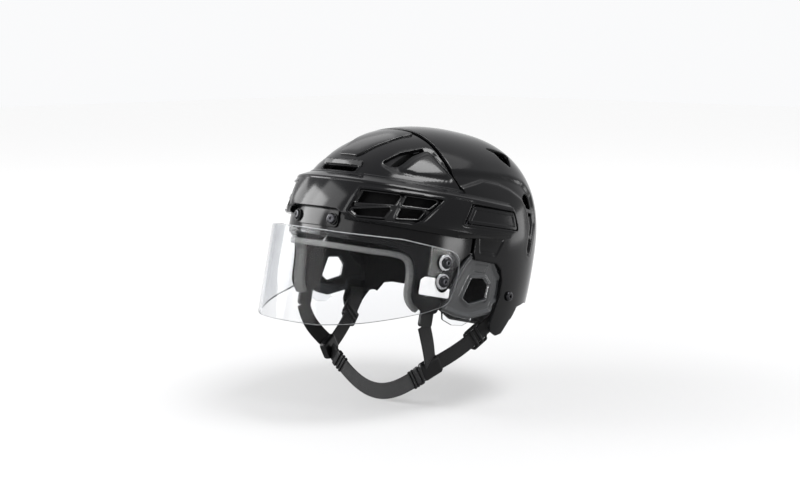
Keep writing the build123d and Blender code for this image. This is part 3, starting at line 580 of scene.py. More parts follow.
belt = {
    "profile": ((-11, -3.3), (-11, 3.5), (-5, 6), (24.6, 6), (25.6, 6.5), (27.4, 6.2), (32.4, -0.6), (33.6, -0.4),
                (34.6, -1.6), (34.6, -3.3)),
    "cornerRadius": 0.7, "step": 0.8, "sweep": 100.0, "columns": 420, "leastWall": 0.3,
    "bead": 1.5, "beadRise": 0.7, "beadWidth": 1.1, "endBevel": 4.0, "endDrop": 2.2, "endFrom": -40.0,
    "ends": ((-0.56, -0.08), (-0.15, -0.06), (0.1, -0.012), (0.14, 0.03), (0.14, 0.06),
             (0.115, 0.13), (0.09, 0.2), (-0.56, 0.2)), "endRadius": 4.0,
    "seam": -0.158, "armLevel": 0.9, "shellLevel": -3.6,
    "notch": ((-43, -11.05), (43, -11.05), (29, -2.5), (-29, -2.5)), "notchRadius": 2.0,
    "latch": ((-0.108, 0.113), (0.104, 0.118), (0.127, 0.035), (-0.14, 0.018)), "latchGap": 0.6,
    "pocketFloor": 2.0, "pocketLap": 0.4, "pocketShape": (70, 40),
}


# Points along a profile no further apart than a step, by length.
def walkProfile(points, step):
    points = np.asarray(points, float)
    out = [points[:1]]
    for a, b in zip(points[:-1], points[1:]):
        count = max(1, int(math.ceil(np.linalg.norm(b - a) / step)))
        out.append(a + (b - a) * (np.arange(1, count + 1) / count)[:, None])
    return np.concatenate(out)


def makeBelt():
    b = belt
    rounded = roundOutline(b["profile"], b["cornerRadius"], 5)
    nearest = lambda point: np.argmin(np.linalg.norm(rounded - np.array(point), axis=1))
    rounded = np.roll(rounded, -nearest(b["profile"][0]), 0)
    path = walkProfile(rounded[:nearest(b["profile"][-1]) + 1], b["step"])
    ends = roundOutline(sharePoints(b["ends"]), b["endRadius"])
    notch = roundOutline(b["notch"], b["notchRadius"])
    grille = sharePoints(frontShell["grille"], *frontShell["grilleBox"])
    latchEdge = np.array(sharePoints(b["latch"]))
    shape = (len(path), b["columns"])

    # The belt's profile turned round the brow. Its back lies in the wall, or above the rear shell behind the
    # seam, and a low bead runs round the vent opening and round the latch.
    def surface(rows, cols):
        height = np.interp(rows, np.arange(len(path)), path[:, 0])
        level = np.interp(rows, np.arange(len(path)), path[:, 1])
        rays = levelRays(b["sweep"] * (2 * cols / (shape[1] - 1) - 1), height)
        outer = domeHit(*rays, level)
        margin = np.clip(1 + sideField(outer, ends) / b["endBevel"], 0, 1) * (outer[..., 1] > b["endFrom"])
        near = np.minimum(np.abs(quarterField(outer, grille) - b["bead"]),
                          np.abs(sideField(outer, latchEdge) - b["bead"]))
        level = level + b["beadRise"] * np.exp(-(near / b["beadWidth"]) ** 2)
        outer = domeHit(*rays, level - b["endDrop"] * margin)
        back = np.where(outer[..., 1] > b["seam"] * helmet["length"], b["armLevel"], b["shellLevel"])
        return outer, domeHit(*rays, np.minimum(back, level - b["leastWall"]))

    def field(p):
        holes = np.minimum(frontField(p, notch), quarterField(p, grille))
        holes = np.minimum(holes, sideField(p, latchEdge) - b["latchGap"])
        return np.maximum(sideField(p, ends), -holes)

    place(wallPiece("brow_belt", shape, surface, field, 0.5), "front", "black_shell", shellBlack)
    for side, word in bothSides:
        pocket = sidePiece("latch_pocket_" + word, latchEdge, side, b["pocketShape"],
                           (b["pocketFloor"], b["armLevel"]),
                           lambda p: sideField(p, latchEdge) - b["latchGap"] - b["pocketLap"], 0.2)
        place(pocket, "front", "black_shell", shellBlack)


rearShell = {
    "edge": ((-0.157, 0.54), (-0.157, 0.318), (-0.146, 0.25), (-0.111, 0.155), (-0.065, -0.041),
             (-0.065, -0.113), (-0.092, -0.15), (-0.077, -0.144), (0.054, -0.144), (0.085, -0.169),
             (0.104, -0.226), (0.108, -0.297), (0.085, -0.441), (0.094, -0.479), (0.131, -0.497),
             (0.165, -0.482), (0.2, -0.41), (0.238, -0.338), (0.308, -0.313), (0.56, -0.313), (0.56, 0.54)),
    "radii": {"edge": 4.0, "channel": 5.0, "sideVent": 2.0, "recess": 2.0},
    "patch": ((62, 238), (-83, 83), (250, 230)),
    "channel": ((-0.18, 0.25), (0.0, 0.277), (0.13, 0.29), (0.22, 0.28), (0.28, 0.23), (0.3, 0.1),
                (0.26, -0.09), (0.24, -0.04), (0.247, 0.07), (0.225, 0.15), (0.19, 0.2), (0.12, 0.232),
                (0.06, 0.246), (-0.02, 0.246), (-0.18, 0.16)),
    "channelDepth": 1.9, "channelEdge": 4.0, "ridge": 0.15, "ridgeWidth": 3.0,
    "sideVent": ((0.2, 0.205), (0.235, 0.235), (0.262, 0.225), (0.285, 0.1), (0.262, -0.05), (0.24, -0.1),
                 (0.252, 0.06), (0.235, 0.14)),
    "struts": (1.95, 27.3), "strutWidth": 3.5,
    "topVent": ((-0.4, -0.5), (-0.4, 0.0), (-0.5, 0.5), (0.5, 0.14), (0.25, -0.12), (-0.1, -0.19)),
    "topVentBox": (20.0, 42.0, 69.0, 39.0), "topVentRadius": 2.0,
    "napeVent": ((-20, 6), (20, 6), (20, 15), (-20, 15)), "napeVentRadius": 3.5,
    "recess": ((-0.048, -0.03), (0.08, -0.02), (0.05, -0.105), (-0.038, -0.105)),
    "recessDepth": 0.9, "recessEdge": 1.4,
}


def makeRearShell():
    r = rearShell
    edge, channel, sideVent, recess = outlinesOf(r)
    topVent = roundOutline(sharePoints(r["topVent"], *r["topVentBox"]), r["topVentRadius"])
    napeVent = roundOutline(r["napeVent"], r["napeVentRadius"])

    # The channel and the lobe recess sink over soft edges, and a low ridge runs beside the channel.
    def outer(p):
        apart = sideField(p, channel)
        sunk = (soften(apart, r["channelEdge"]) * r["channelDepth"]
                + soften(sideField(p, recess), r["recessEdge"]) * r["recessDepth"])
        ridge = r["ridge"] * np.exp(-((apart - r["ridgeWidth"]) / r["ridgeWidth"]) ** 2)
        return helmet["rearLevel"] - sunk + ridge

    def field(p):
        vents = sideField(p, sideVent)
        for low in r["struts"]:
            vents = np.maximum(vents, r["strutWidth"] / 2 - np.abs(p[..., 2] - low - r["strutWidth"] / 2))
        holes = np.minimum(np.minimum(vents, planField(p, topVent)), rearField(p, napeVent))
        return np.maximum(sideField(p, edge), -holes)

    shell = hoopPiece("rear_shell_dome", r["patch"], (outer, helmet["rearInner"]), field, 0.5)
    place(shell, "rear", "black_shell", shellBlack, "rear_shell")


tongue = {
    "size_tongue": {
        "outline": ((-0.1635, 0.54), (-0.065, 0.54), (-0.065, 0.1), (-0.02, -0.03), (-0.02, -0.118),
                    (-0.071, -0.118), (-0.071, -0.041), (-0.117, 0.149), (-0.152, 0.246), (-0.1635, 0.318)),
        "patch": ((40, 125), (-80, 80), (120, 150)), "levels": (-2.6, -4.8), "rim": 0.4, "shift": 12.0,
    },
    "seam_flange": {
        "outline": ((-0.179, 0.54), (-0.1585, 0.54), (-0.1585, 0.318), (-0.1475, 0.246), (-0.1125, 0.149),
                    (-0.0665, -0.041), (-0.0665, -0.117), (-0.086, -0.117), (-0.086, -0.041), (-0.133, 0.149),
                    (-0.168, 0.246), (-0.179, 0.318)),
        "patch": ((30, 125), (-80, 80), (200, 150)), "levels": (-2.5, -10.5), "rim": 0.3, "shift": 0.0,
    },
}


# The tongue that runs under the rear shell, with the flange between it and the front shell.
def makeTongue():
    for name, t in tongue.items():
        outline = np.array(sharePoints(t["outline"]))
        rib = hoopPiece(name, t["patch"], t["levels"], lambda p: sideField(p, outline), t["rim"], t["shift"])
        place(rib, "front", "black_shell", shellBlack)


makeFrontShell()
makeTongue()
makeCrownPanel()
makeSlotHood()
makeBelt()
makeRearShell()
print("shells made")


clear = {
    "color": (0.89, 0.895, 0.905), "ior": 1.14, "edge": (0.2, 0.205, 0.21), "edgeLight": (0.34, 0.345, 0.35),
    "grazing": (0.4, 0.42, 0.45), "rimPower": 2.4, "glossScale": 18.0,
}
smoke = {
    "color": (0.055, 0.058, 0.062), "transmission": 0.55, "roughness": 0.16, "wander": 0.1, "glossScale": 40.0,
}


# Clear sheet: clear where it is faced and greyer where it is seen along, by a power of how far it turns away.
# Its gloss wanders as on wiped plastic.
def clearMaterial(name, tint, smooth, dull):
    mat, tree, shader = newMaterial(name, tint, smooth)
    facing = addNode(tree, "LayerWeight", {"Blend": 0.5})["Facing"]
    steep = mathNode(tree, "POWER", facing, clear["rimPower"])
    gloss, _ = noiseRange(tree, clear["glossScale"], smooth, dull)
    setInputs(tree, shader, {"IOR": clear["ior"], "Transmission Weight": 1.0, "Roughness": gloss,
                             "Base Color": mixColor(tree, steep, tint, clear["grazing"])})
    return mat


def smokeMaterial():
    mat, tree, shader = newMaterial("smokyGuard", smoke["color"], smoke["roughness"])
    gloss, _ = noiseRange(tree, smoke["glossScale"], smoke["roughness"], smoke["roughness"] + smoke["wander"])
    setInputs(tree, shader, {"Transmission Weight": smoke["transmission"], "IOR": 1.5, "Roughness": gloss})
    return mat


# Speckled colour between two shades by fine noise on Object coordinates, with a bump of the same grain.
def grainMaterial(name, dark, light, roughness, scale, depth, sheen=0.0, detail=6.0):
    mat, tree, shader = newMaterial(name, light, roughness)
    share, noise = noiseRange(tree, scale, 0, 1, detail)
    setInputs(tree, shader, {"Sheen Weight": sheen, "Sheen Roughness": 0.5, "Specular IOR Level": 0.2,
                             "Base Color": mixColor(tree, share, dark, light)})
    addBump(tree, shader, noise, depth, 0.8)
    return mat


# Weave on the piece's own UV map in millimetres: the product of a sine along and a sine across, mixed
# between two shades and roughened by fine noise.
def weaveMaterial(name, dark, light, pitches, roughness, sheen, depth):
    mat, tree, shader = newMaterial(name, light, roughness)
    coord = addNode(tree, "TexCoord", {})["UV"]
    split = addNode(tree, "SeparateXYZ", {0: coord})
    waves = [mathNode(tree, "SINE", mathNode(tree, "MULTIPLY", split[axis], 2 * math.pi / pitch))
             for axis, pitch in zip("XY", pitches)]
    grain, _ = noiseRange(tree, 500.0, -0.35, 0.35)
    rough = mathNode(tree, "ADD", mathNode(tree, "MULTIPLY", *waves), grain)
    shade = addNode(tree, "MapRange", {"From Min": -1, "Value": rough})["Result"]
    setInputs(tree, shader, {"Sheen Weight": sheen, "Sheen Roughness": 0.4, "Specular IOR Level": 0.25,
                             "Base Color": mixColor(tree, shade, dark, light)})
    addBump(tree, shader, shade, depth, 0.9)
    return mat


# Metal with fine turning lines of noise in its roughness.
def metalMaterial(name, color, smooth, dull):
    mat, tree, shader = newMaterial(name, color, smooth)
    gloss, noise = noiseRange(tree, 900.0, smooth, dull)
    setInputs(tree, shader, {"Metallic": 1.0, "Roughness": gloss})
    addBump(tree, shader, noise, 0.00002, 0.4)
    return mat


visorClear = clearMaterial("clearSheet", clear["color"], 0.01, 0.045)
visorEdge = grainMaterial("frostedEdge", clear["edge"], clear["edgeLight"], 0.3, 300.0, 0.00002, detail=2.0)
lipClear = clearMaterial("clearLip", (0.93, 0.94, 0.95), 0.04, 0.12)
bushClear = clearMaterial("clearBush", (0.9, 0.91, 0.92), 0.06, 0.16)
guardSmoke = smokeMaterial()
plateWhite = grainMaterial("whitePlate", (0.78, 0.78, 0.79), (0.86, 0.86, 0.87), 0.38, 90.0, 0.00001, detail=2.0)
screwBlack = metalMaterial("blackScrew", (0.022, 0.022, 0.024), 0.16, 0.26)
steelBright = metalMaterial("brightRing", (0.06, 0.06, 0.062), 0.14, 0.28)
foamCharcoal = grainMaterial("charcoalFoam", (0.001, 0.001, 0.0012), (0.005, 0.005, 0.0055), 0.9, 420.0, 0.0004,
                             0.01)
feltGrey = grainMaterial("heatherFelt", (0.006, 0.006, 0.0065), (0.03, 0.03, 0.031), 0.95, 620.0, 0.0005, 0.04)
meshFelt = weaveMaterial("edgingWeave", (0.02, 0.02, 0.0195), (0.27, 0.27, 0.262), (2.0, 2.0), 0.95, 0.12,
                         0.0004)
webbingBlack = weaveMaterial("wovenWebbing", (0.001, 0.001, 0.0012), (0.007, 0.007, 0.0077), (1.5, 1.1), 0.62,
                             0.02, 0.0003)
print("materials made")

visor = {
    "halfWidth": 102.0, "depth": 141.0, "y": -10.0, "wall": 2.5, "sweep": 86.0, "shape": (300, 110),
    "length": 122.0, "height": 91.0, "rear": -31.0, "top": -22.0, "radius": 5.0,
    "outline": ((-1.14, -0.02), (-0.89, -0.02), (-0.52, 0.01), (-0.13, -0.02), (-0.06, -0.04), (-0.02, -0.1),
                (-0.01, -0.25), (-0.025, -0.42), (-0.06, -0.55), (-0.11, -0.6), (-0.26, -0.69), (-0.43, -0.77),
                (-0.69, -0.89), (-0.92, -0.98), (-1.14, -1.0)),
    "screwY": -49.0, "screwZ": -44.75, "screwPitch": 17.5, "slotWidth": 5.6, "travel": 3.0, "washer": 14.6,
    "plate": ((-0.5, -0.5), (0.5, -0.5), (0.5, 0.05), (0.1, 0.05), (-0.05, 0.5), (-0.38, 0.5), (-0.5, 0.3)),
    "plateBox": (32.0, 17.0, -57.0, -60.0), "plateRadius": 1.5, "platePatch": ((48, 82), (-70, -50), (70, 60)),
    "plateGap": 0.05, "plateWall": 0.8,
}


# Wall over a patch of the visor's upright oval by turn and height, between two gaps from the oval.
def visorPiece(name, patch, gaps, fieldOf, rim, edgeMat=None):
    v = visor
    turns, heights, shape = patch

    def surface(rows, cols):
        turn, z = np.radians(between(turns, rows, shape[0])), between(heights, cols, shape[1])
        return [np.stack([(v["halfWidth"] + gap) * np.sin(turn),
                          v["y"] - (v["depth"] + gap) * np.cos(turn), z], -1) for gap in gaps]

    return wallPiece(name, shape, surface, fieldOf, rim, edgeMat)


# Outer place and outward direction of a visor screw; side is the wearer's, row is -1 low or 1 high.
def visorScrew(side, row):
    v = visor
    along = v["screwY"] - v["y"]
    across = math.sqrt(1 - (along / v["depth"]) ** 2) * v["halfWidth"]
    way = np.array([side * across / v["halfWidth"] ** 2, along / v["depth"] ** 2, 0])
    way /= np.linalg.norm(way)
    spot = np.array([side * across, v["screwY"], v["screwZ"] + row * v["screwPitch"] / 2])
    return spot + way * v["wall"], way


# Signed distance to the upright slot round a visor screw.
def slotField(points, side, row, width):
    spot, way = visorScrew(side, row)
    apart = points - spot
    apart = apart - (apart @ way)[..., None] * way
    up = np.maximum(np.abs(apart[..., 2]) - visor["travel"], 0)
    return np.hypot(np.hypot(apart[..., 0], apart[..., 1]), up) - width / 2


def makeVisor():
    v, margin = visor, 3
    outline = roundOutline(sharePoints(v["outline"], v["length"], v["height"], v["rear"], v["top"]), v["radius"])
    plate = roundOutline(sharePoints(v["plate"], *v["plateBox"]), v["plateRadius"])

    def field(p):
        slots = [slotField(p, side, row, v["slotWidth"]) for side in (-1, 1) for row in (-1, 1)]
        return np.maximum(sideField(p, outline), -np.minimum.reduce(slots))

    patch = ((-v["sweep"], v["sweep"]), (v["top"] - v["height"] - margin, v["top"] + margin), v["shape"])
    sheet = visorPiece("visor_sheet", patch, (v["wall"], 0), field, 0.7, (visorClear, visorEdge))
    place(sheet, "visor", "clear_visor", visorClear, "visor")
    back = v["wall"] + v["plateGap"]
    tag = visorPiece("visor_plate", v["platePatch"], (back + v["plateWall"], back),
                     lambda p: np.maximum(sideField(p, plate), -slotField(p, 1, -1, v["washer"])), 0.35)
    place(tag, "visor", "white_plate", plateWhite, "visor_blank_plate")


screws = {  # profiles of (radius, height, share of a hexagon), rings of (outer, inner, low, high, edge)
    "forehead": {
        "head": ((0.01, 1.2, 1), (1.6, 1.2, 1), (1.6, 2.55, 1), (1.75, 2.6, 0.5), (3.5, 2.6, 0), (4.2, 2.35, 0),
                 (4.6, 1.8, 0), (4.75, 1.2, 0), (4.75, 0.05, 0), (4.4, 0, 0), (0.01, 0, 0)),
        "lift": 1.0, "ring": (5.75, 4.9, 0.05, 1.9, 0.25), "shift": 0.0,
    },
    "visor": {
        "head": ((0.01, 1.3, 1), (1.7, 1.3, 1), (1.7, 2.95, 1), (1.9, 3.05, 0.5), (3.2, 2.8, 0), (4.5, 2.1, 0),
                 (5.3, 1.2, 0), (5.6, 0.4, 0), (5.6, 0.05, 0), (5.3, 0, 0), (0.01, 0, 0)),
        "lift": 1.45, "ring": (7.6, 4.2, 0.95, 1.9, 0.4), "shift": 1.6,
    },
    "pitch": 47.0, "z": -12.5, "plateLevel": 0.7, "lobeY": 41.0, "lobeZ": -57.0, "lobeLift": 0.05,
}


# Place and outward direction where a ray meets a level of the dome.
def domePlace(start, way, level):
    start, way = np.asarray(start, float), np.asarray(way, float)
    here = domeHit(start, way, level)
    step = 0.01 * np.eye(3)
    slope = np.array([domeValue(here + s, level) - domeValue(here, level) for s in step])
    return here, slope / np.linalg.norm(slope)


# Washer ring of a given width and bore with rounded edges.
def ringProfile(outer, inner, low, high, edge):
    return ((inner, low, 0), (inner, high - edge, 0), (inner + edge, high, 0), (outer - edge, high, 0),
            (outer, high - edge, 0), (outer, low, 0))


# Two screw heads and the rings under them, the rings shifted forwards.
def screwPair(kind, places, side=1):
    heads = [turnedPiece("screw", kind["head"], spot + way * kind["lift"], way) for spot, way in places]
    rings = [turnedPiece("ring", ringProfile(*kind["ring"]), spot + np.cross(way, (0, 0, side)) * kind["shift"],
                         way, wrap=True) for spot, way in places]
    return heads, rings


def makeScrews():
    s = screws
    starts = [(side * s["pitch"] / 2, helmet["domeY"], s["z"]) for side in (-1, 1)]
    heads, rings = screwPair(s["forehead"], [domePlace(start, (0, -1, 0), s["plateLevel"]) for start in starts])
    place(joinPieces("forehead_screw_heads", heads), "front", "black_screw", screwBlack, "forehead_screws")
    place(joinPieces("forehead_rings", rings), "front", "black_rubber", rubberBlack, "forehead_grommets")
    for side, word in bothSides:
        heads, rings = screwPair(s["visor"], [visorScrew(side, row) for row in (-1, 1)], side)
        place(joinPieces("visor_screw_heads_" + word, heads), "front", "black_screw", screwBlack,
              "visor_screws_" + word)
        place(joinPieces("visor_rings_" + word, rings), "front", "steel", steelBright, "visor_washers_" + word)
        spot, way = domePlace((0, s["lobeY"], s["lobeZ"]), (side, 0, 0), helmet["rearLevel"])
        head = turnedPiece("lobe_screw_head_" + word, s["forehead"]["head"], spot + way * s["lobeLift"], way)
        place(head, "rear", "black_screw", screwBlack, "lobe_screw_" + word)


guard = {
    "outline": ((-0.065, -0.122), (0.05, -0.122), (0.084, -0.18), (0.17, -0.25), (0.175, -0.33), (0.092, -0.345),
                (0.089, -0.39), (-0.023, -0.436), (-0.088, -0.43), (-0.152, -0.41), (-0.12, -0.26),
                (-0.09, -0.17)),
    "hole": ((-0.045, -0.236), (0.018, -0.226), (0.046, -0.256), (0.044, -0.323), (-0.035, -0.359),
             (-0.07, -0.338)),
    "notch": ((-0.04, -0.165), (0.03, -0.16), (0.02, -0.2), (-0.035, -0.2)),
    "lip": ((-0.145, -0.39), (0.0, -0.4), (0.0, -0.44), (-0.035, -0.47), (-0.085, -0.475), (-0.13, -0.455)),
    "radii": {"outline": 2.5, "hole": 2.0, "notch": 1.2, "lip": 2.0}, "shape": (160, 130), "lipShape": (70, 40),
    "level": -2.5, "wall": 2.2, "notchDepth": 0.8, "notchEdge": 0.8, "border": 5.0, "rimWidth": 3.2,
    "panelDepth": 0.8, "panelEdge": 2.0, "bead": 1.1, "beadRise": 0.8, "lipWall": 1.4, "lipGap": 0.05,
}


def makeGuards():
    g = guard
    outline, hole, notch, lip = outlinesOf(g)

    # The panel sinks between the border and the raised rim of the opening, each with a round bead along it.
    def outer(p):
        edge, rim = sideField(p, outline), sideField(p, hole)
        panel = soften(np.maximum(edge + g["border"], g["rimWidth"] - rim), g["panelEdge"])
        bead = sum(np.exp(-(apart / g["bead"]) ** 2) for apart in (rim - g["bead"], edge + g["border"] / 2))
        return (g["level"] - g["panelDepth"] * panel + g["beadRise"] * bead
                - g["notchDepth"] * soften(sideField(p, notch), g["notchEdge"]))

    inner = g["level"] - g["wall"]
    top = inner - g["lipGap"]
    for side, word in bothSides:
        plate = sidePiece("guard_plate_" + word, outline, side, g["shape"], (outer, inner),
                          lambda p: np.maximum(sideField(p, outline), -sideField(p, hole)), 0.6)
        place(plate, "rear", "smoke_guard", guardSmoke, "ear_guard_" + word)
        piece = sidePiece("guard_lip_" + word, lip, side, g["lipShape"], (top, top - g["lipWall"]),
                          lambda p: sideField(p, lip), 0.4)
        place(piece, "rear", "clear_lip", lipClear, "ear_guard_lip_" + word)


insert = {
    "windows": (((-0.37, 0.36), (0.04, 0.4), (-0.01, 0.09), (-0.42, -0.02)),
                ((0.1, 0.4), (0.44, 0.43), (0.35, 0.16), (0.07, 0.12)),
                ((-0.46, -0.27), (-0.39, -0.42), (-0.1, -0.36), (-0.04, -0.04)),
                ((0.03, -0.32), (0.06, 0.0), (0.31, 0.05), (0.25, -0.24))),
    "radius": 1.0, "front": 4.0, "lip": 0.9, "swell": 1.4, "swellWidth": 1.2, "back": -1.2,
    "turns": (3, 58), "heights": (-10, 23), "shape": (230, 90),
}


def makeGrilles():
    g, box = insert, frontShell["grilleBox"]
    outline = sharePoints(frontShell["grille"], *box)
    windows = [roundOutline(sharePoints(window, *box), g["radius"]) for window in g["windows"]]
    gapField = lambda p: np.minimum.reduce([quarterField(p, window) for window in windows])

    # The bars' face swells towards each window, as a drafted moulding does.
    def outer(p):
        swell = np.exp(-((gapField(p) - g["swellWidth"]) / g["swellWidth"]) ** 2)
        return g["front"] - g["lip"] + g["swell"] * g["lip"] * swell

    for side, word in bothSides:
        def surface(rows, cols):
            rays = levelRays(side * between(g["turns"], rows, g["shape"][0]),
                             between(g["heights"], cols, g["shape"][1]))
            return levelPoints(rays, (outer, g["back"]))
        piece = wallPiece("vent_insert_" + word, g["shape"], surface,
                          lambda p: np.maximum(quarterField(p, outline), -gapField(p)), 0.5)
        place(piece, "front", "black_grille", grilleBlack, "side_grille_" + word)


latch = {
    "frame": 3.2, "frameDepth": 0.7, "frameEdge": 0.9, "corner": 2.0, "drop": 0.9, "top": 5.2, "bottom": 3.0,
    "inset": 3.1, "low": 6.0, "high": 19.5, "axisLevel": 4.0, "barrel": 1.5, "chamfer": 0.2, "shape": (110, 50),
}


# The latch plate, a frame about a lower field, with its hinge barrel along the rear edge.
def makeLatches():
    t = latch
    outline = sharePoints(belt["latch"])
    (topY, topZ), (lowY, lowZ) = outline[0], outline[3]
    outline[0], outline[3] = (topY + t["inset"], topZ - t["drop"]), (lowY + t["inset"], lowZ)
    outline = roundOutline(outline, t["corner"])
    ends = [domeHit(np.array([0, lowY + (topY - lowY) * (z - lowZ) / (topZ - lowZ) + t["inset"], z]),
                    np.array([1.0, 0, 0]), t["axisLevel"]) for z in (t["low"], t["high"])]
    top = lambda p: t["top"] - t["frameDepth"] * soften(sideField(p, outline) + t["frame"], t["frameEdge"])
    for side, word in bothSides:
        plate = sidePiece("latch_plate_" + word, outline, side, t["shape"], (top, t["bottom"]),
                          lambda p: sideField(p, outline), 0.5)
        low, high = (end * (side, 1, 1) for end in ends)
        length, wide, cut = np.linalg.norm(high - low), t["barrel"], t["chamfer"]
        profile = [(0.01, 0, 0), (wide - cut, 0, 0), (wide, cut, 0), (wide, length - cut, 0),
                   (wide - cut, length, 0), (0.01, length, 0)]
        barrel = turnedPiece("barrel", profile, low, high - low, 32)
        place(joinPieces("latch_plate_" + word, [plate, barrel]), "latch_" + word, "black_trim", shellBlack,
              "size_latch_" + word)


browPlate = {
    "half": 29.0, "top": -2.55, "bottom": -20.0, "wall": 2.2, "gap": 0.05, "corner": 3.0, "turns": (-20, 20),
    "margin": 2.0, "shape": (60, 120),
}


def makeBrowPlate():
    b, level = browPlate, helmet["frontLevel"]
    outline = roundOutline(((-b["half"], b["bottom"]), (b["half"], b["bottom"]), (b["half"], b["top"]),
                            (-b["half"], b["top"])), b["corner"])
    heights = (b["bottom"] - b["margin"], b["top"] + b["margin"])

    def surface(rows, cols):
        rays = levelRays(between(b["turns"], cols, b["shape"][1]), between(heights, rows, b["shape"][0]))
        return levelPoints(rays, (level + b["wall"], level + b["gap"]))

    plate = wallPiece("brow_screw_plate", b["shape"], surface, lambda p: frontField(p, outline), 0.6)
    place(plate, "front", "black_shell", shellBlack, "forehead_plate")


makeVisor()
makeScrews()
makeGuards()
makeGrilles()
makeLatches()
makeBrowPlate()
print("visor, guards and fittings made")

lining = {
    "foam": 11.0, "crownFoam": 8.0, "step": 3.0, "stepReach": 11.0, "gap": 0.3, "crownHalf": 42.0, "rim": 2.5,
    "radii": {"brow": 4.0, "nape": 10.0, "crownFront": 4.0, "crownRear": 4.0, "temple": 4.0, "side": 4.0},
    "shape": (90, 110),
    "brow": ((-0.56, -0.14), (-0.33, -0.14), (-0.3, -0.06), (-0.14, -0.03), (-0.14, 0.1), (-0.56, 0.1)),
    "temple": ((-0.243, -0.17), (-0.125, -0.17), (-0.125, -0.35), (-0.15, -0.405), (-0.212, -0.412),
               (-0.236, -0.385), (-0.242, -0.3)),
    "side": ((0.19, 0.1), (0.3, 0.13), (0.37, 0.1), (0.39, -0.1), (0.385, -0.285), (0.305, -0.3), (0.235, -0.325),
             (0.208, -0.385), (0.185, -0.36), (0.185, -0.1)),
    "nape": ((-0.23, -0.29), (-0.19, -0.4), (-0.12, -0.452), (0.12, -0.452), (0.19, -0.4), (0.23, -0.29),
             (0.2, -0.03), (-0.2, -0.03)),
    "crownFront": ((-0.34, 0.02), (-0.21, 0.02), (-0.21, 0.6), (-0.34, 0.6)),
    "crownRear": ((0.0, 0.2), (0.25, 0.2), (0.25, 0.6), (0.0, 0.6)),
    "guardInset": 6.0, "holeInset": 2.0, "guardFloor": -74.0, "guardFelt": 1.5, "guardGap": 0.1,
    "guardShape": (110, 90),
}


# Foam against a level of the shell: its free face sinks to the foam depth and swells by a step inside its edge.
def foamLevels(wall, depth, field):
    swell = lambda p: np.sqrt(1 - (1 - np.clip(-field(p) / lining["stepReach"], 0, 1)) ** 2)
    return (lambda p: wall - depth - lining["step"] * swell(p)), wall - lining["gap"]


def makeFoam():
    n = lining
    walls = {"front": helmet["frontInner"], "rear": helmet["rearInner"]}
    brow, nape, crownFront, crownRear, temple, sideEdge = outlinesOf(n)
    narrow = lambda p: np.abs(p[..., 0]) - n["crownHalf"]
    jobs = (
        ("brow_cushion", "front", "brow_pad", ((-8, 68), (-60, 60), (120, 170)), n["foam"],
         lambda p: sideField(p, brow)),
        ("nape_cushion", "rear", "nape_pad", ((148, 208), (-44, 44), (110, 110)), n["foam"],
         lambda p: rearField(p, nape)),
        ("crown_cushion_front", "front", "crown_pad_front", ((28, 78), (-32, 32), (90, 80)), n["crownFoam"],
         lambda p: np.maximum(sideField(p, crownFront), narrow(p))),
        ("crown_cushion_rear", "rear", "crown_pad_rear", ((80, 140), (-32, 32), (90, 80)), n["crownFoam"],
         lambda p: np.maximum(sideField(p, crownRear), narrow(p))),
    )
    for name, body, node, patch, depth, field in jobs:
        pad = hoopPiece(name, patch, foamLevels(walls[body], depth, field), field, n["rim"])
        place(pad, body, "charcoal_foam", foamCharcoal, node)
    for key, body, outline in (("temple", "front", temple), ("side", "rear", sideEdge)):
        field = lambda p: sideField(p, outline)
        for side, word in bothSides:
            pad = sidePiece(key + "_cushion_" + word, outline, side, n["shape"],
                            foamLevels(walls[body], n["foam"], field), field, n["rim"])
            place(pad, body, "charcoal_foam", foamCharcoal, key + "_pad_" + word)


edging = {
    "temple": ((-0.228, -0.418), (-0.247, -0.401), (-0.26, -0.382), (-0.265, -0.35), (-0.265, -0.297),
               (-0.268, -0.25), (-0.274, -0.217), (-0.288, -0.187), (-0.304, -0.174), (-0.326, -0.169)),
    "browZ": -33.6, "browTurn": 12.0, "depth": 10.5, "thick": 5.5, "round": 1.7, "step": 1.2, "stations": 420,
    "browStations": 60, "smooth": 9,
}


def runAlong(points):
    return np.concatenate([[0], np.cumsum(np.linalg.norm(np.diff(points, axis=0), axis=1))])


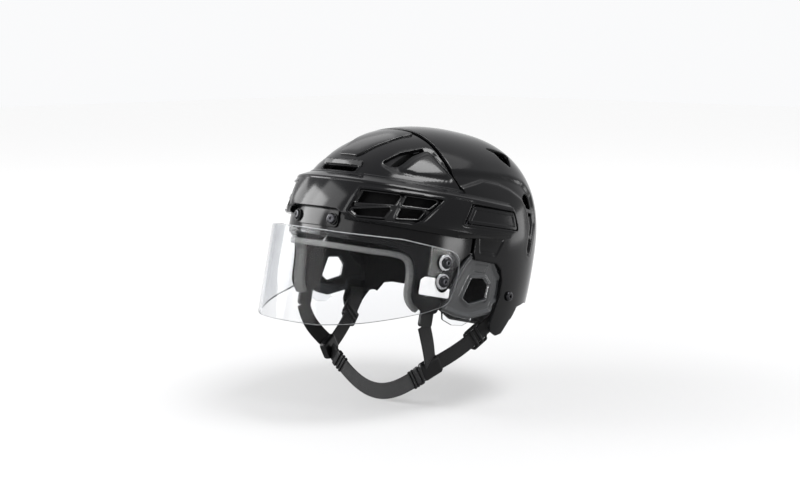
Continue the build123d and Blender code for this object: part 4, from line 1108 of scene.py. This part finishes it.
# Felt edging carried along the free edge of the lining, over the brow and down both temples: a rounded strip
# whose depth runs in from the shell and whose thickness runs back behind the edge.
def makeEdging():
    e = edging
    level = helmet["frontInner"] - lining["gap"]
    share = np.array(sharePoints(e["temple"]))
    temple = domeHit(*sideRays(share[:, 0], share[:, 1]), level)
    last = temple[-1]
    turn = math.degrees(math.atan2(last[0], helmet["domeY"] - last[1]))
    turns = np.linspace(turn, -turn, e["browStations"])[1:-1]
    drop = np.clip((turn - np.abs(turns)) / e["browTurn"], 0, 1)
    brow = domeHit(*levelRays(turns, last[2] + (e["browZ"] - last[2]) * drop), level)
    path = np.concatenate([temple, brow, temple[::-1] * (-1, 1, 1)])
    run = runAlong(path)
    steps = np.linspace(0, run[-1], e["stations"])
    # Even steps along the path, then each place averaged with its neighbours.
    path = np.stack([np.interp(steps, run, path[:, k]) for k in range(3)], -1)
    padding = np.pad(path, ((e["smooth"], e["smooth"]), (0, 0)), "reflect", reflect_type="odd")
    kernel = np.ones(2 * e["smooth"] + 1) / (2 * e["smooth"] + 1)
    path = np.stack([np.convolve(padding[:, k], kernel, "valid") for k in range(3)], -1)
    outward = unit(np.stack([domeValue(path + step, level) - domeValue(path - step, level)
                             for step in 0.05 * np.eye(3)], -1))
    behind = unit(np.cross(outward, unit(np.gradient(path, axis=0))))
    corners = ((0, 0), (e["thick"], 0), (e["thick"], e["depth"]), (0, e["depth"]))
    rounded = roundOutline(corners, e["round"])
    section = walkProfile(np.concatenate([rounded, rounded[:1]]), e["step"])[:-1]
    rings = path[:, None] + behind[:, None] * section[None, :, :1] - outward[:, None] * section[None, :, 1:]
    uv = np.stack(np.broadcast_arrays(steps[:, None], runAlong(section)[None]), -1)
    band = tubePiece("felt_edging", tipped(rings) * 1000, uv=uv)
    place(band, "front", "grey_felt", meshFelt, "brow_felt", "temple_felt_left", "temple_felt_right")


# Felt on the inner face of each ear guard, round its opening.
def makeGuardFelt():
    n, g = lining, guard
    outline, hole, _, _ = outlinesOf(g)
    top = g["level"] - g["wall"] - n["guardGap"]
    field = lambda p: np.maximum(np.maximum(sideField(p, outline) + n["guardInset"],
                                            n["holeInset"] - sideField(p, hole)), n["guardFloor"] - p[..., 2])
    for side, word in bothSides:
        band = sidePiece("guard_felt_" + word, outline, side, n["guardShape"], (top - n["guardFelt"], top), field,
                         0.5, 0)
        place(band, "rear", "grey_felt", feltGrey)


makeFoam()
makeEdging()
makeGuardFelt()
print("lining made")

straps = {
    "width": 16.0, "wall": 1.8, "edge": 0.7, "junction": (71.5, -46.5, -129.0), "tabLevel": 86.5, "tabWall": 3.0,
    "tabY": -48.0, "tabBottom": -98.0, "gap": 0.3, "frontSink": 3.0, "rearSink": (4.0, 2.0),
    "sleeve": (21.0, 19.0, 7.5), "sleeveRound": 2.6, "sleevePull": 0.16, "sleeveEnd": 0.75,
    "glideBars": ((-9.0, 1.1), (-3.0, -1.1), (3.0, -1.1), (9.0, 1.1)),  # place along the strap, lift off it
    "glideWidth": 21.0, "glideBar": 1.7,
    "frontBow": (4, -3, 0), "frontSpan": (-0.04, 1, 40),  # first share, last share, stations
    "rearEnd": (95.4, 17.0, -87.0), "rearBow": (0, 0, -4), "rearSpan": (0.01, 1, 70), "sleeveAim": 20,
    "blend": (4, 34),  # two stations along the rear strap
    "chinBow": (0, -4, -33), "chinSpan": (0.0196, 0.9804, 110),
    "chinLoops": ((14.0, 5.0, 5.0), (18.8, 2.0, 4.2), (22.2, 2.0, 4.2)), "loopRoom": 2.4,  # run, length, depth
}


# Flat section with rounded corners, as points across and through.
def flatSection(width, depth, radius, arcSteps, step):
    a, b = width / 2, depth / 2
    return walkProfile(roundOutline(((-a, -b), (a, -b), (a, b), (-a, b)), radius, arcSteps), step)


# Strap from start to end: a straight line plus a bow times the sine of half a turn, with a rounded flat section.
def strapPiece(name, start, end, bow, facing, span):
    start, end, bow = (np.asarray(v, float) for v in (start, end, bow))
    share = np.linspace(*span)[:, None]
    middle = start + (end - start) * share + bow * np.sin(math.pi * share)
    _, across, thick = crossAxes(end - start + bow * math.pi * np.cos(math.pi * share), facing)
    section = flatSection(straps["width"], straps["wall"], straps["edge"], 4, 1.0)
    rings = middle[:, None] + across[:, None] * section[None, :, :1] + thick[:, None] * section[None, :, 1:]
    uv = np.stack(np.broadcast_arrays(runAlong(middle)[:, None], section[None, :, 0]), -1)
    return tubePiece(name, rings, uv=uv), middle


# Sleeve of rounded section along a way; its ends pull in over the last steps.
def sleevePiece(name, centre, way, facing, size, radius):
    way, across, thick = crossAxes(way, facing)
    section = flatSection(size[1], size[2], radius, 6, 1.2)
    share = np.linspace(-1, 1, 25)
    end = straps["sleeveEnd"]
    pull = 1 - straps["sleevePull"] * np.clip((np.abs(share) - end) / (1 - end), 0, 1) ** 2
    rings = (np.asarray(centre) + way * (share * size[0] / 2)[:, None])[:, None] + pull[:, None, None] * (
        across * section[:, :1] + thick * section[:, 1:])
    return tubePiece(name, rings)


# Glide of round bars across the strap, joined by two rails along it.
def makeGlide(word, middle):
    s = straps
    low, high = (np.array(corner) * 1000 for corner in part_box("tri_glide_" + word))
    near = int(np.argmin(np.linalg.norm(middle - (low + high) / 2, axis=1)))
    near = min(max(near, 2), len(middle) - 3)
    way, across, thick = crossAxes(middle[near + 2] - middle[near - 2], (1, 0, 0))
    reach = across * s["glideWidth"] / 2
    spots = [(middle[near] + way * run, lift) for run, lift in s["glideBars"]]
    lines = [(spot - reach, spot + reach, lift) for spot, lift in spots]
    lines += [(spots[0][0] + rail, spots[-1][0] + rail, 0) for rail in (-reach, reach)]
    turn = np.linspace(0, 2 * math.pi, 14, endpoint=False)[:, None]
    share = np.linspace(0, 1, 12)[:, None, None]
    radius = s["glideBar"] * np.sqrt(np.clip(1 - (2 * share - 1) ** 12, 0.15, 1))
    parts = []
    for start, end, lift in lines:
        _, first, second = crossAxes(end - start, thick)
        parts.append(tubePiece("bar", start + thick * lift + (end - start) * share
                               + radius * (first * np.cos(turn) + second * np.sin(turn))))
    return joinPieces("strap_glide_" + word, parts)


def makeStraps():
    s = straps
    left, right = (np.array(s["junction"]) * (side, 1, 1) for side, _ in bothSides)
    for side, word in bothSides:
        flip = np.array([side, 1, 1])
        junction = left if side > 0 else right
        foot = np.array([side * (s["tabLevel"] - s["tabWall"] / 2), s["tabY"], s["tabBottom"] - s["gap"]])
        strap, _ = strapPiece("front_webbing_" + word, tipped(foot) * 1000, junction + (0, 0, s["frontSink"]),
                              s["frontBow"] * flip, (1, 0, 0), s["frontSpan"])
        place(strap, "front", "black_webbing", webbingBlack, "front_strap_" + word)
        strap, middle = strapPiece("rear_webbing_" + word, junction + (0, *s["rearSink"]), s["rearEnd"] * flip,
                                   s["rearBow"], (1, 0, 0), s["rearSpan"])
        strap.data.materials.append(webbingBlack)
        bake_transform(strap)
        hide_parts("rear_strap_" + word)
        place(makeGlide(word, middle), "rear", "black_trim", trimBlack, "tri_glide_" + word)
        sleeve = sleevePiece("junction_sleeve_" + word, junction, middle[s["sleeveAim"]] - junction, (1, 0, 0),
                             s["sleeve"], s["sleeveRound"])
        place(sleeve, "front", "black_trim", trimBlack, "junction_keeper_" + word)
    strap, middle = strapPiece("chin_webbing", right, left, s["chinBow"], (0, 1, 0), s["chinSpan"])
    place(strap, "chin", "black_webbing", webbingBlack, "chin_strap")
    # A loop and two ribs grip the strap by each junction.
    shares = np.linspace(*s["chinSpan"])
    for side, word in bothSides[::-1]:
        back, ahead = (-9, -5) if side > 0 else (4, 8)
        parts = []
        for run, length, depth in s["chinLoops"]:
            share = run / np.linalg.norm(left - right)
            spot = [np.interp(1 - share if side > 0 else share, shares, middle[:, k]) for k in range(3)]
            parts.append(sleevePiece("loop", spot, middle[ahead] - middle[back], (0, 1, 0),
                                     (length, s["width"] + s["loopRoom"], depth), depth / 2 - 0.1))
        place(joinPieces("chin_loop_" + word, parts), "chin", "black_trim", trimBlack)


makeStraps()
print("straps made")

# Small fittings keep the form of their solids and get a material.
bare = {"latch_pin_": screwBlack, "visor_bushes_": bushClear, "visor_nuts_": steelBright,
        "snap_stud_": steelBright, "strap_clip_": trimBlack, "snap_tab_": trimBlack}
for name, mat in bare.items():
    for _, word in bothSides:
        dress(name + word, mat)

view = {
    "azimuth": 45.0, "elevation": 8.0, "distance": 1.5, "lens": 67.5,
    "aim": (-0.0094, -0.0065, -0.0277), "floor": -0.1705, "floorSide": 6.0,
    "lamps": (  # name, place, size in metres, brightness where a white wall is one
        ("overheadWide", (0.6, 0.6, 2.0), (1.8, 1.5), 1.8),
        ("overheadBright", (0.72, 0.3, 1.9), (1.1, 0.9), 21.0),
        ("sideLeft", (-1.5, -1.2, 0.65), (1.0, 1.1), 17.0),
        ("frontHigh", (-0.9, -1.36, 1.12), (1.2, 0.8), 6.0),
        ("frontStrip", (-0.3, -1.95, 0.3), (1.3, 1.3), 5.0),
        ("crownBox", (-1.4, 0.85, 1.2), (0.6, 0.6), 1.0),
        ("rimLow", (0.8, 1.4, 0.02), (0.6, 0.4), 5.0),
        ("sideRight", (1.73, 0.5, -0.04), (0.42, 0.24), 20.0),
        ("hoodSide", (-1.85, -0.42, 0.66), (0.8, 0.5), 5.0),
    ),
    # The floor's glow rises from its near to its far value between two distances from the helmet; the dimmer near
    # glow is painted shade under the helmet.
    "floorColor": (0.18, 0.18, 0.182), "floorGlowWithPaintedShade": (0.42, 0.84), "paintedShadeFade": (0.12, 1.1),
    "ambient": 0.3, "backdrop": (0.955, 0.958, 0.966),
}


def makeCamera():
    a, e = math.radians(view["azimuth"]), math.radians(view["elevation"])
    back = Vector((math.sin(a) * math.cos(e), -math.cos(a) * math.cos(e), math.sin(e)))
    data = bpy.data.cameras.new("photoCamera")
    data.lens, data.sensor_width = view["lens"], 36
    camera = addObject("photoCamera", data)
    camera.location = Vector(view["aim"]) + back * view["distance"]
    camera.rotation_euler = back.to_track_quat("Z", "Y").to_euler()
    bpy.context.scene.camera = camera


# Oblong lamp that shines at the helmet.
def makeLamp(name, spot, size, glow):
    data = bpy.data.lights.new(name, "AREA")
    data.shape, data.size, data.size_y = "RECTANGLE", *size
    data.energy = glow * math.pi * size[0] * size[1]
    lamp = addObject(name, data)
    lamp.location = spot
    lamp.rotation_euler = Vector(spot).to_track_quat("Z", "Y").to_euler()


# One for rays from the camera, off gloss and through glass, nought for the rest.
def seenRays(tree):
    ray = addNode(tree, "LightPath", {})
    seen = mathNode(tree, "MAXIMUM", ray["Is Camera Ray"], ray["Is Glossy Ray"])
    return mathNode(tree, "MAXIMUM", seen, ray["Is Transmission Ray"])


# The world is white to those rays, and a plain grey light elsewhere.
def makeStudio():
    world = bpy.data.worlds.new("studio")
    bpy.context.scene.world = world
    world.use_nodes = True
    tree = world.node_tree
    strength = addNode(tree, "MapRange", {"To Min": view["ambient"], "To Max": 1.0, "Value": seenRays(tree)})
    setInputs(tree, tree.nodes["Background"], {"Color": (*view["backdrop"], 1), "Strength": strength["Result"]})
    for lamp in view["lamps"]:
        makeLamp(*lamp)


# The floor glows to the same rays: dimmer near the helmet, a painted shade round it on top of the lamps' own
# shadow, and brighter away from it, so that it runs out to white.
def makeFloor():
    a, z = view["floorSide"], view["floor"]
    mesh = bpy.data.meshes.new("floor")
    mesh.from_pydata([(-a, -a, z), (a, -a, z), (a, a, z), (-a, a, z)], [], [(0, 1, 2, 3)])
    floor = addObject("floor", mesh)
    mat, tree, shader = newMaterial("paleFloorWithPaintedShade", view["floorColor"], 0.8)
    coord = addNode(tree, "TexCoord", {})["Object"]
    reach = addNode(tree, "VectorMath", {0: coord}, operation="LENGTH")["Value"]
    paintedShadeRamp = dict(zip(("From Min", "From Max", "To Min", "To Max"), view["paintedShadeFade"] + view["floorGlowWithPaintedShade"]))
    # Lower glow near the helmet: painted shade on the floor round it.
    share = addNode(tree, "MapRange", {"Value": reach, **paintedShadeRamp})["Result"]
    glow = mathNode(tree, "MULTIPLY", share, seenRays(tree))
    setInputs(tree, shader, {"Specular IOR Level": 0.1, "Emission Color": (1, 1, 1, 1),
                             "Emission Strength": glow})
    mesh.materials.append(mat)


makeCamera()
makeStudio()
makeFloor()
bpy.context.scene.view_settings.view_transform = "Standard"
print("camera, light and floor set")
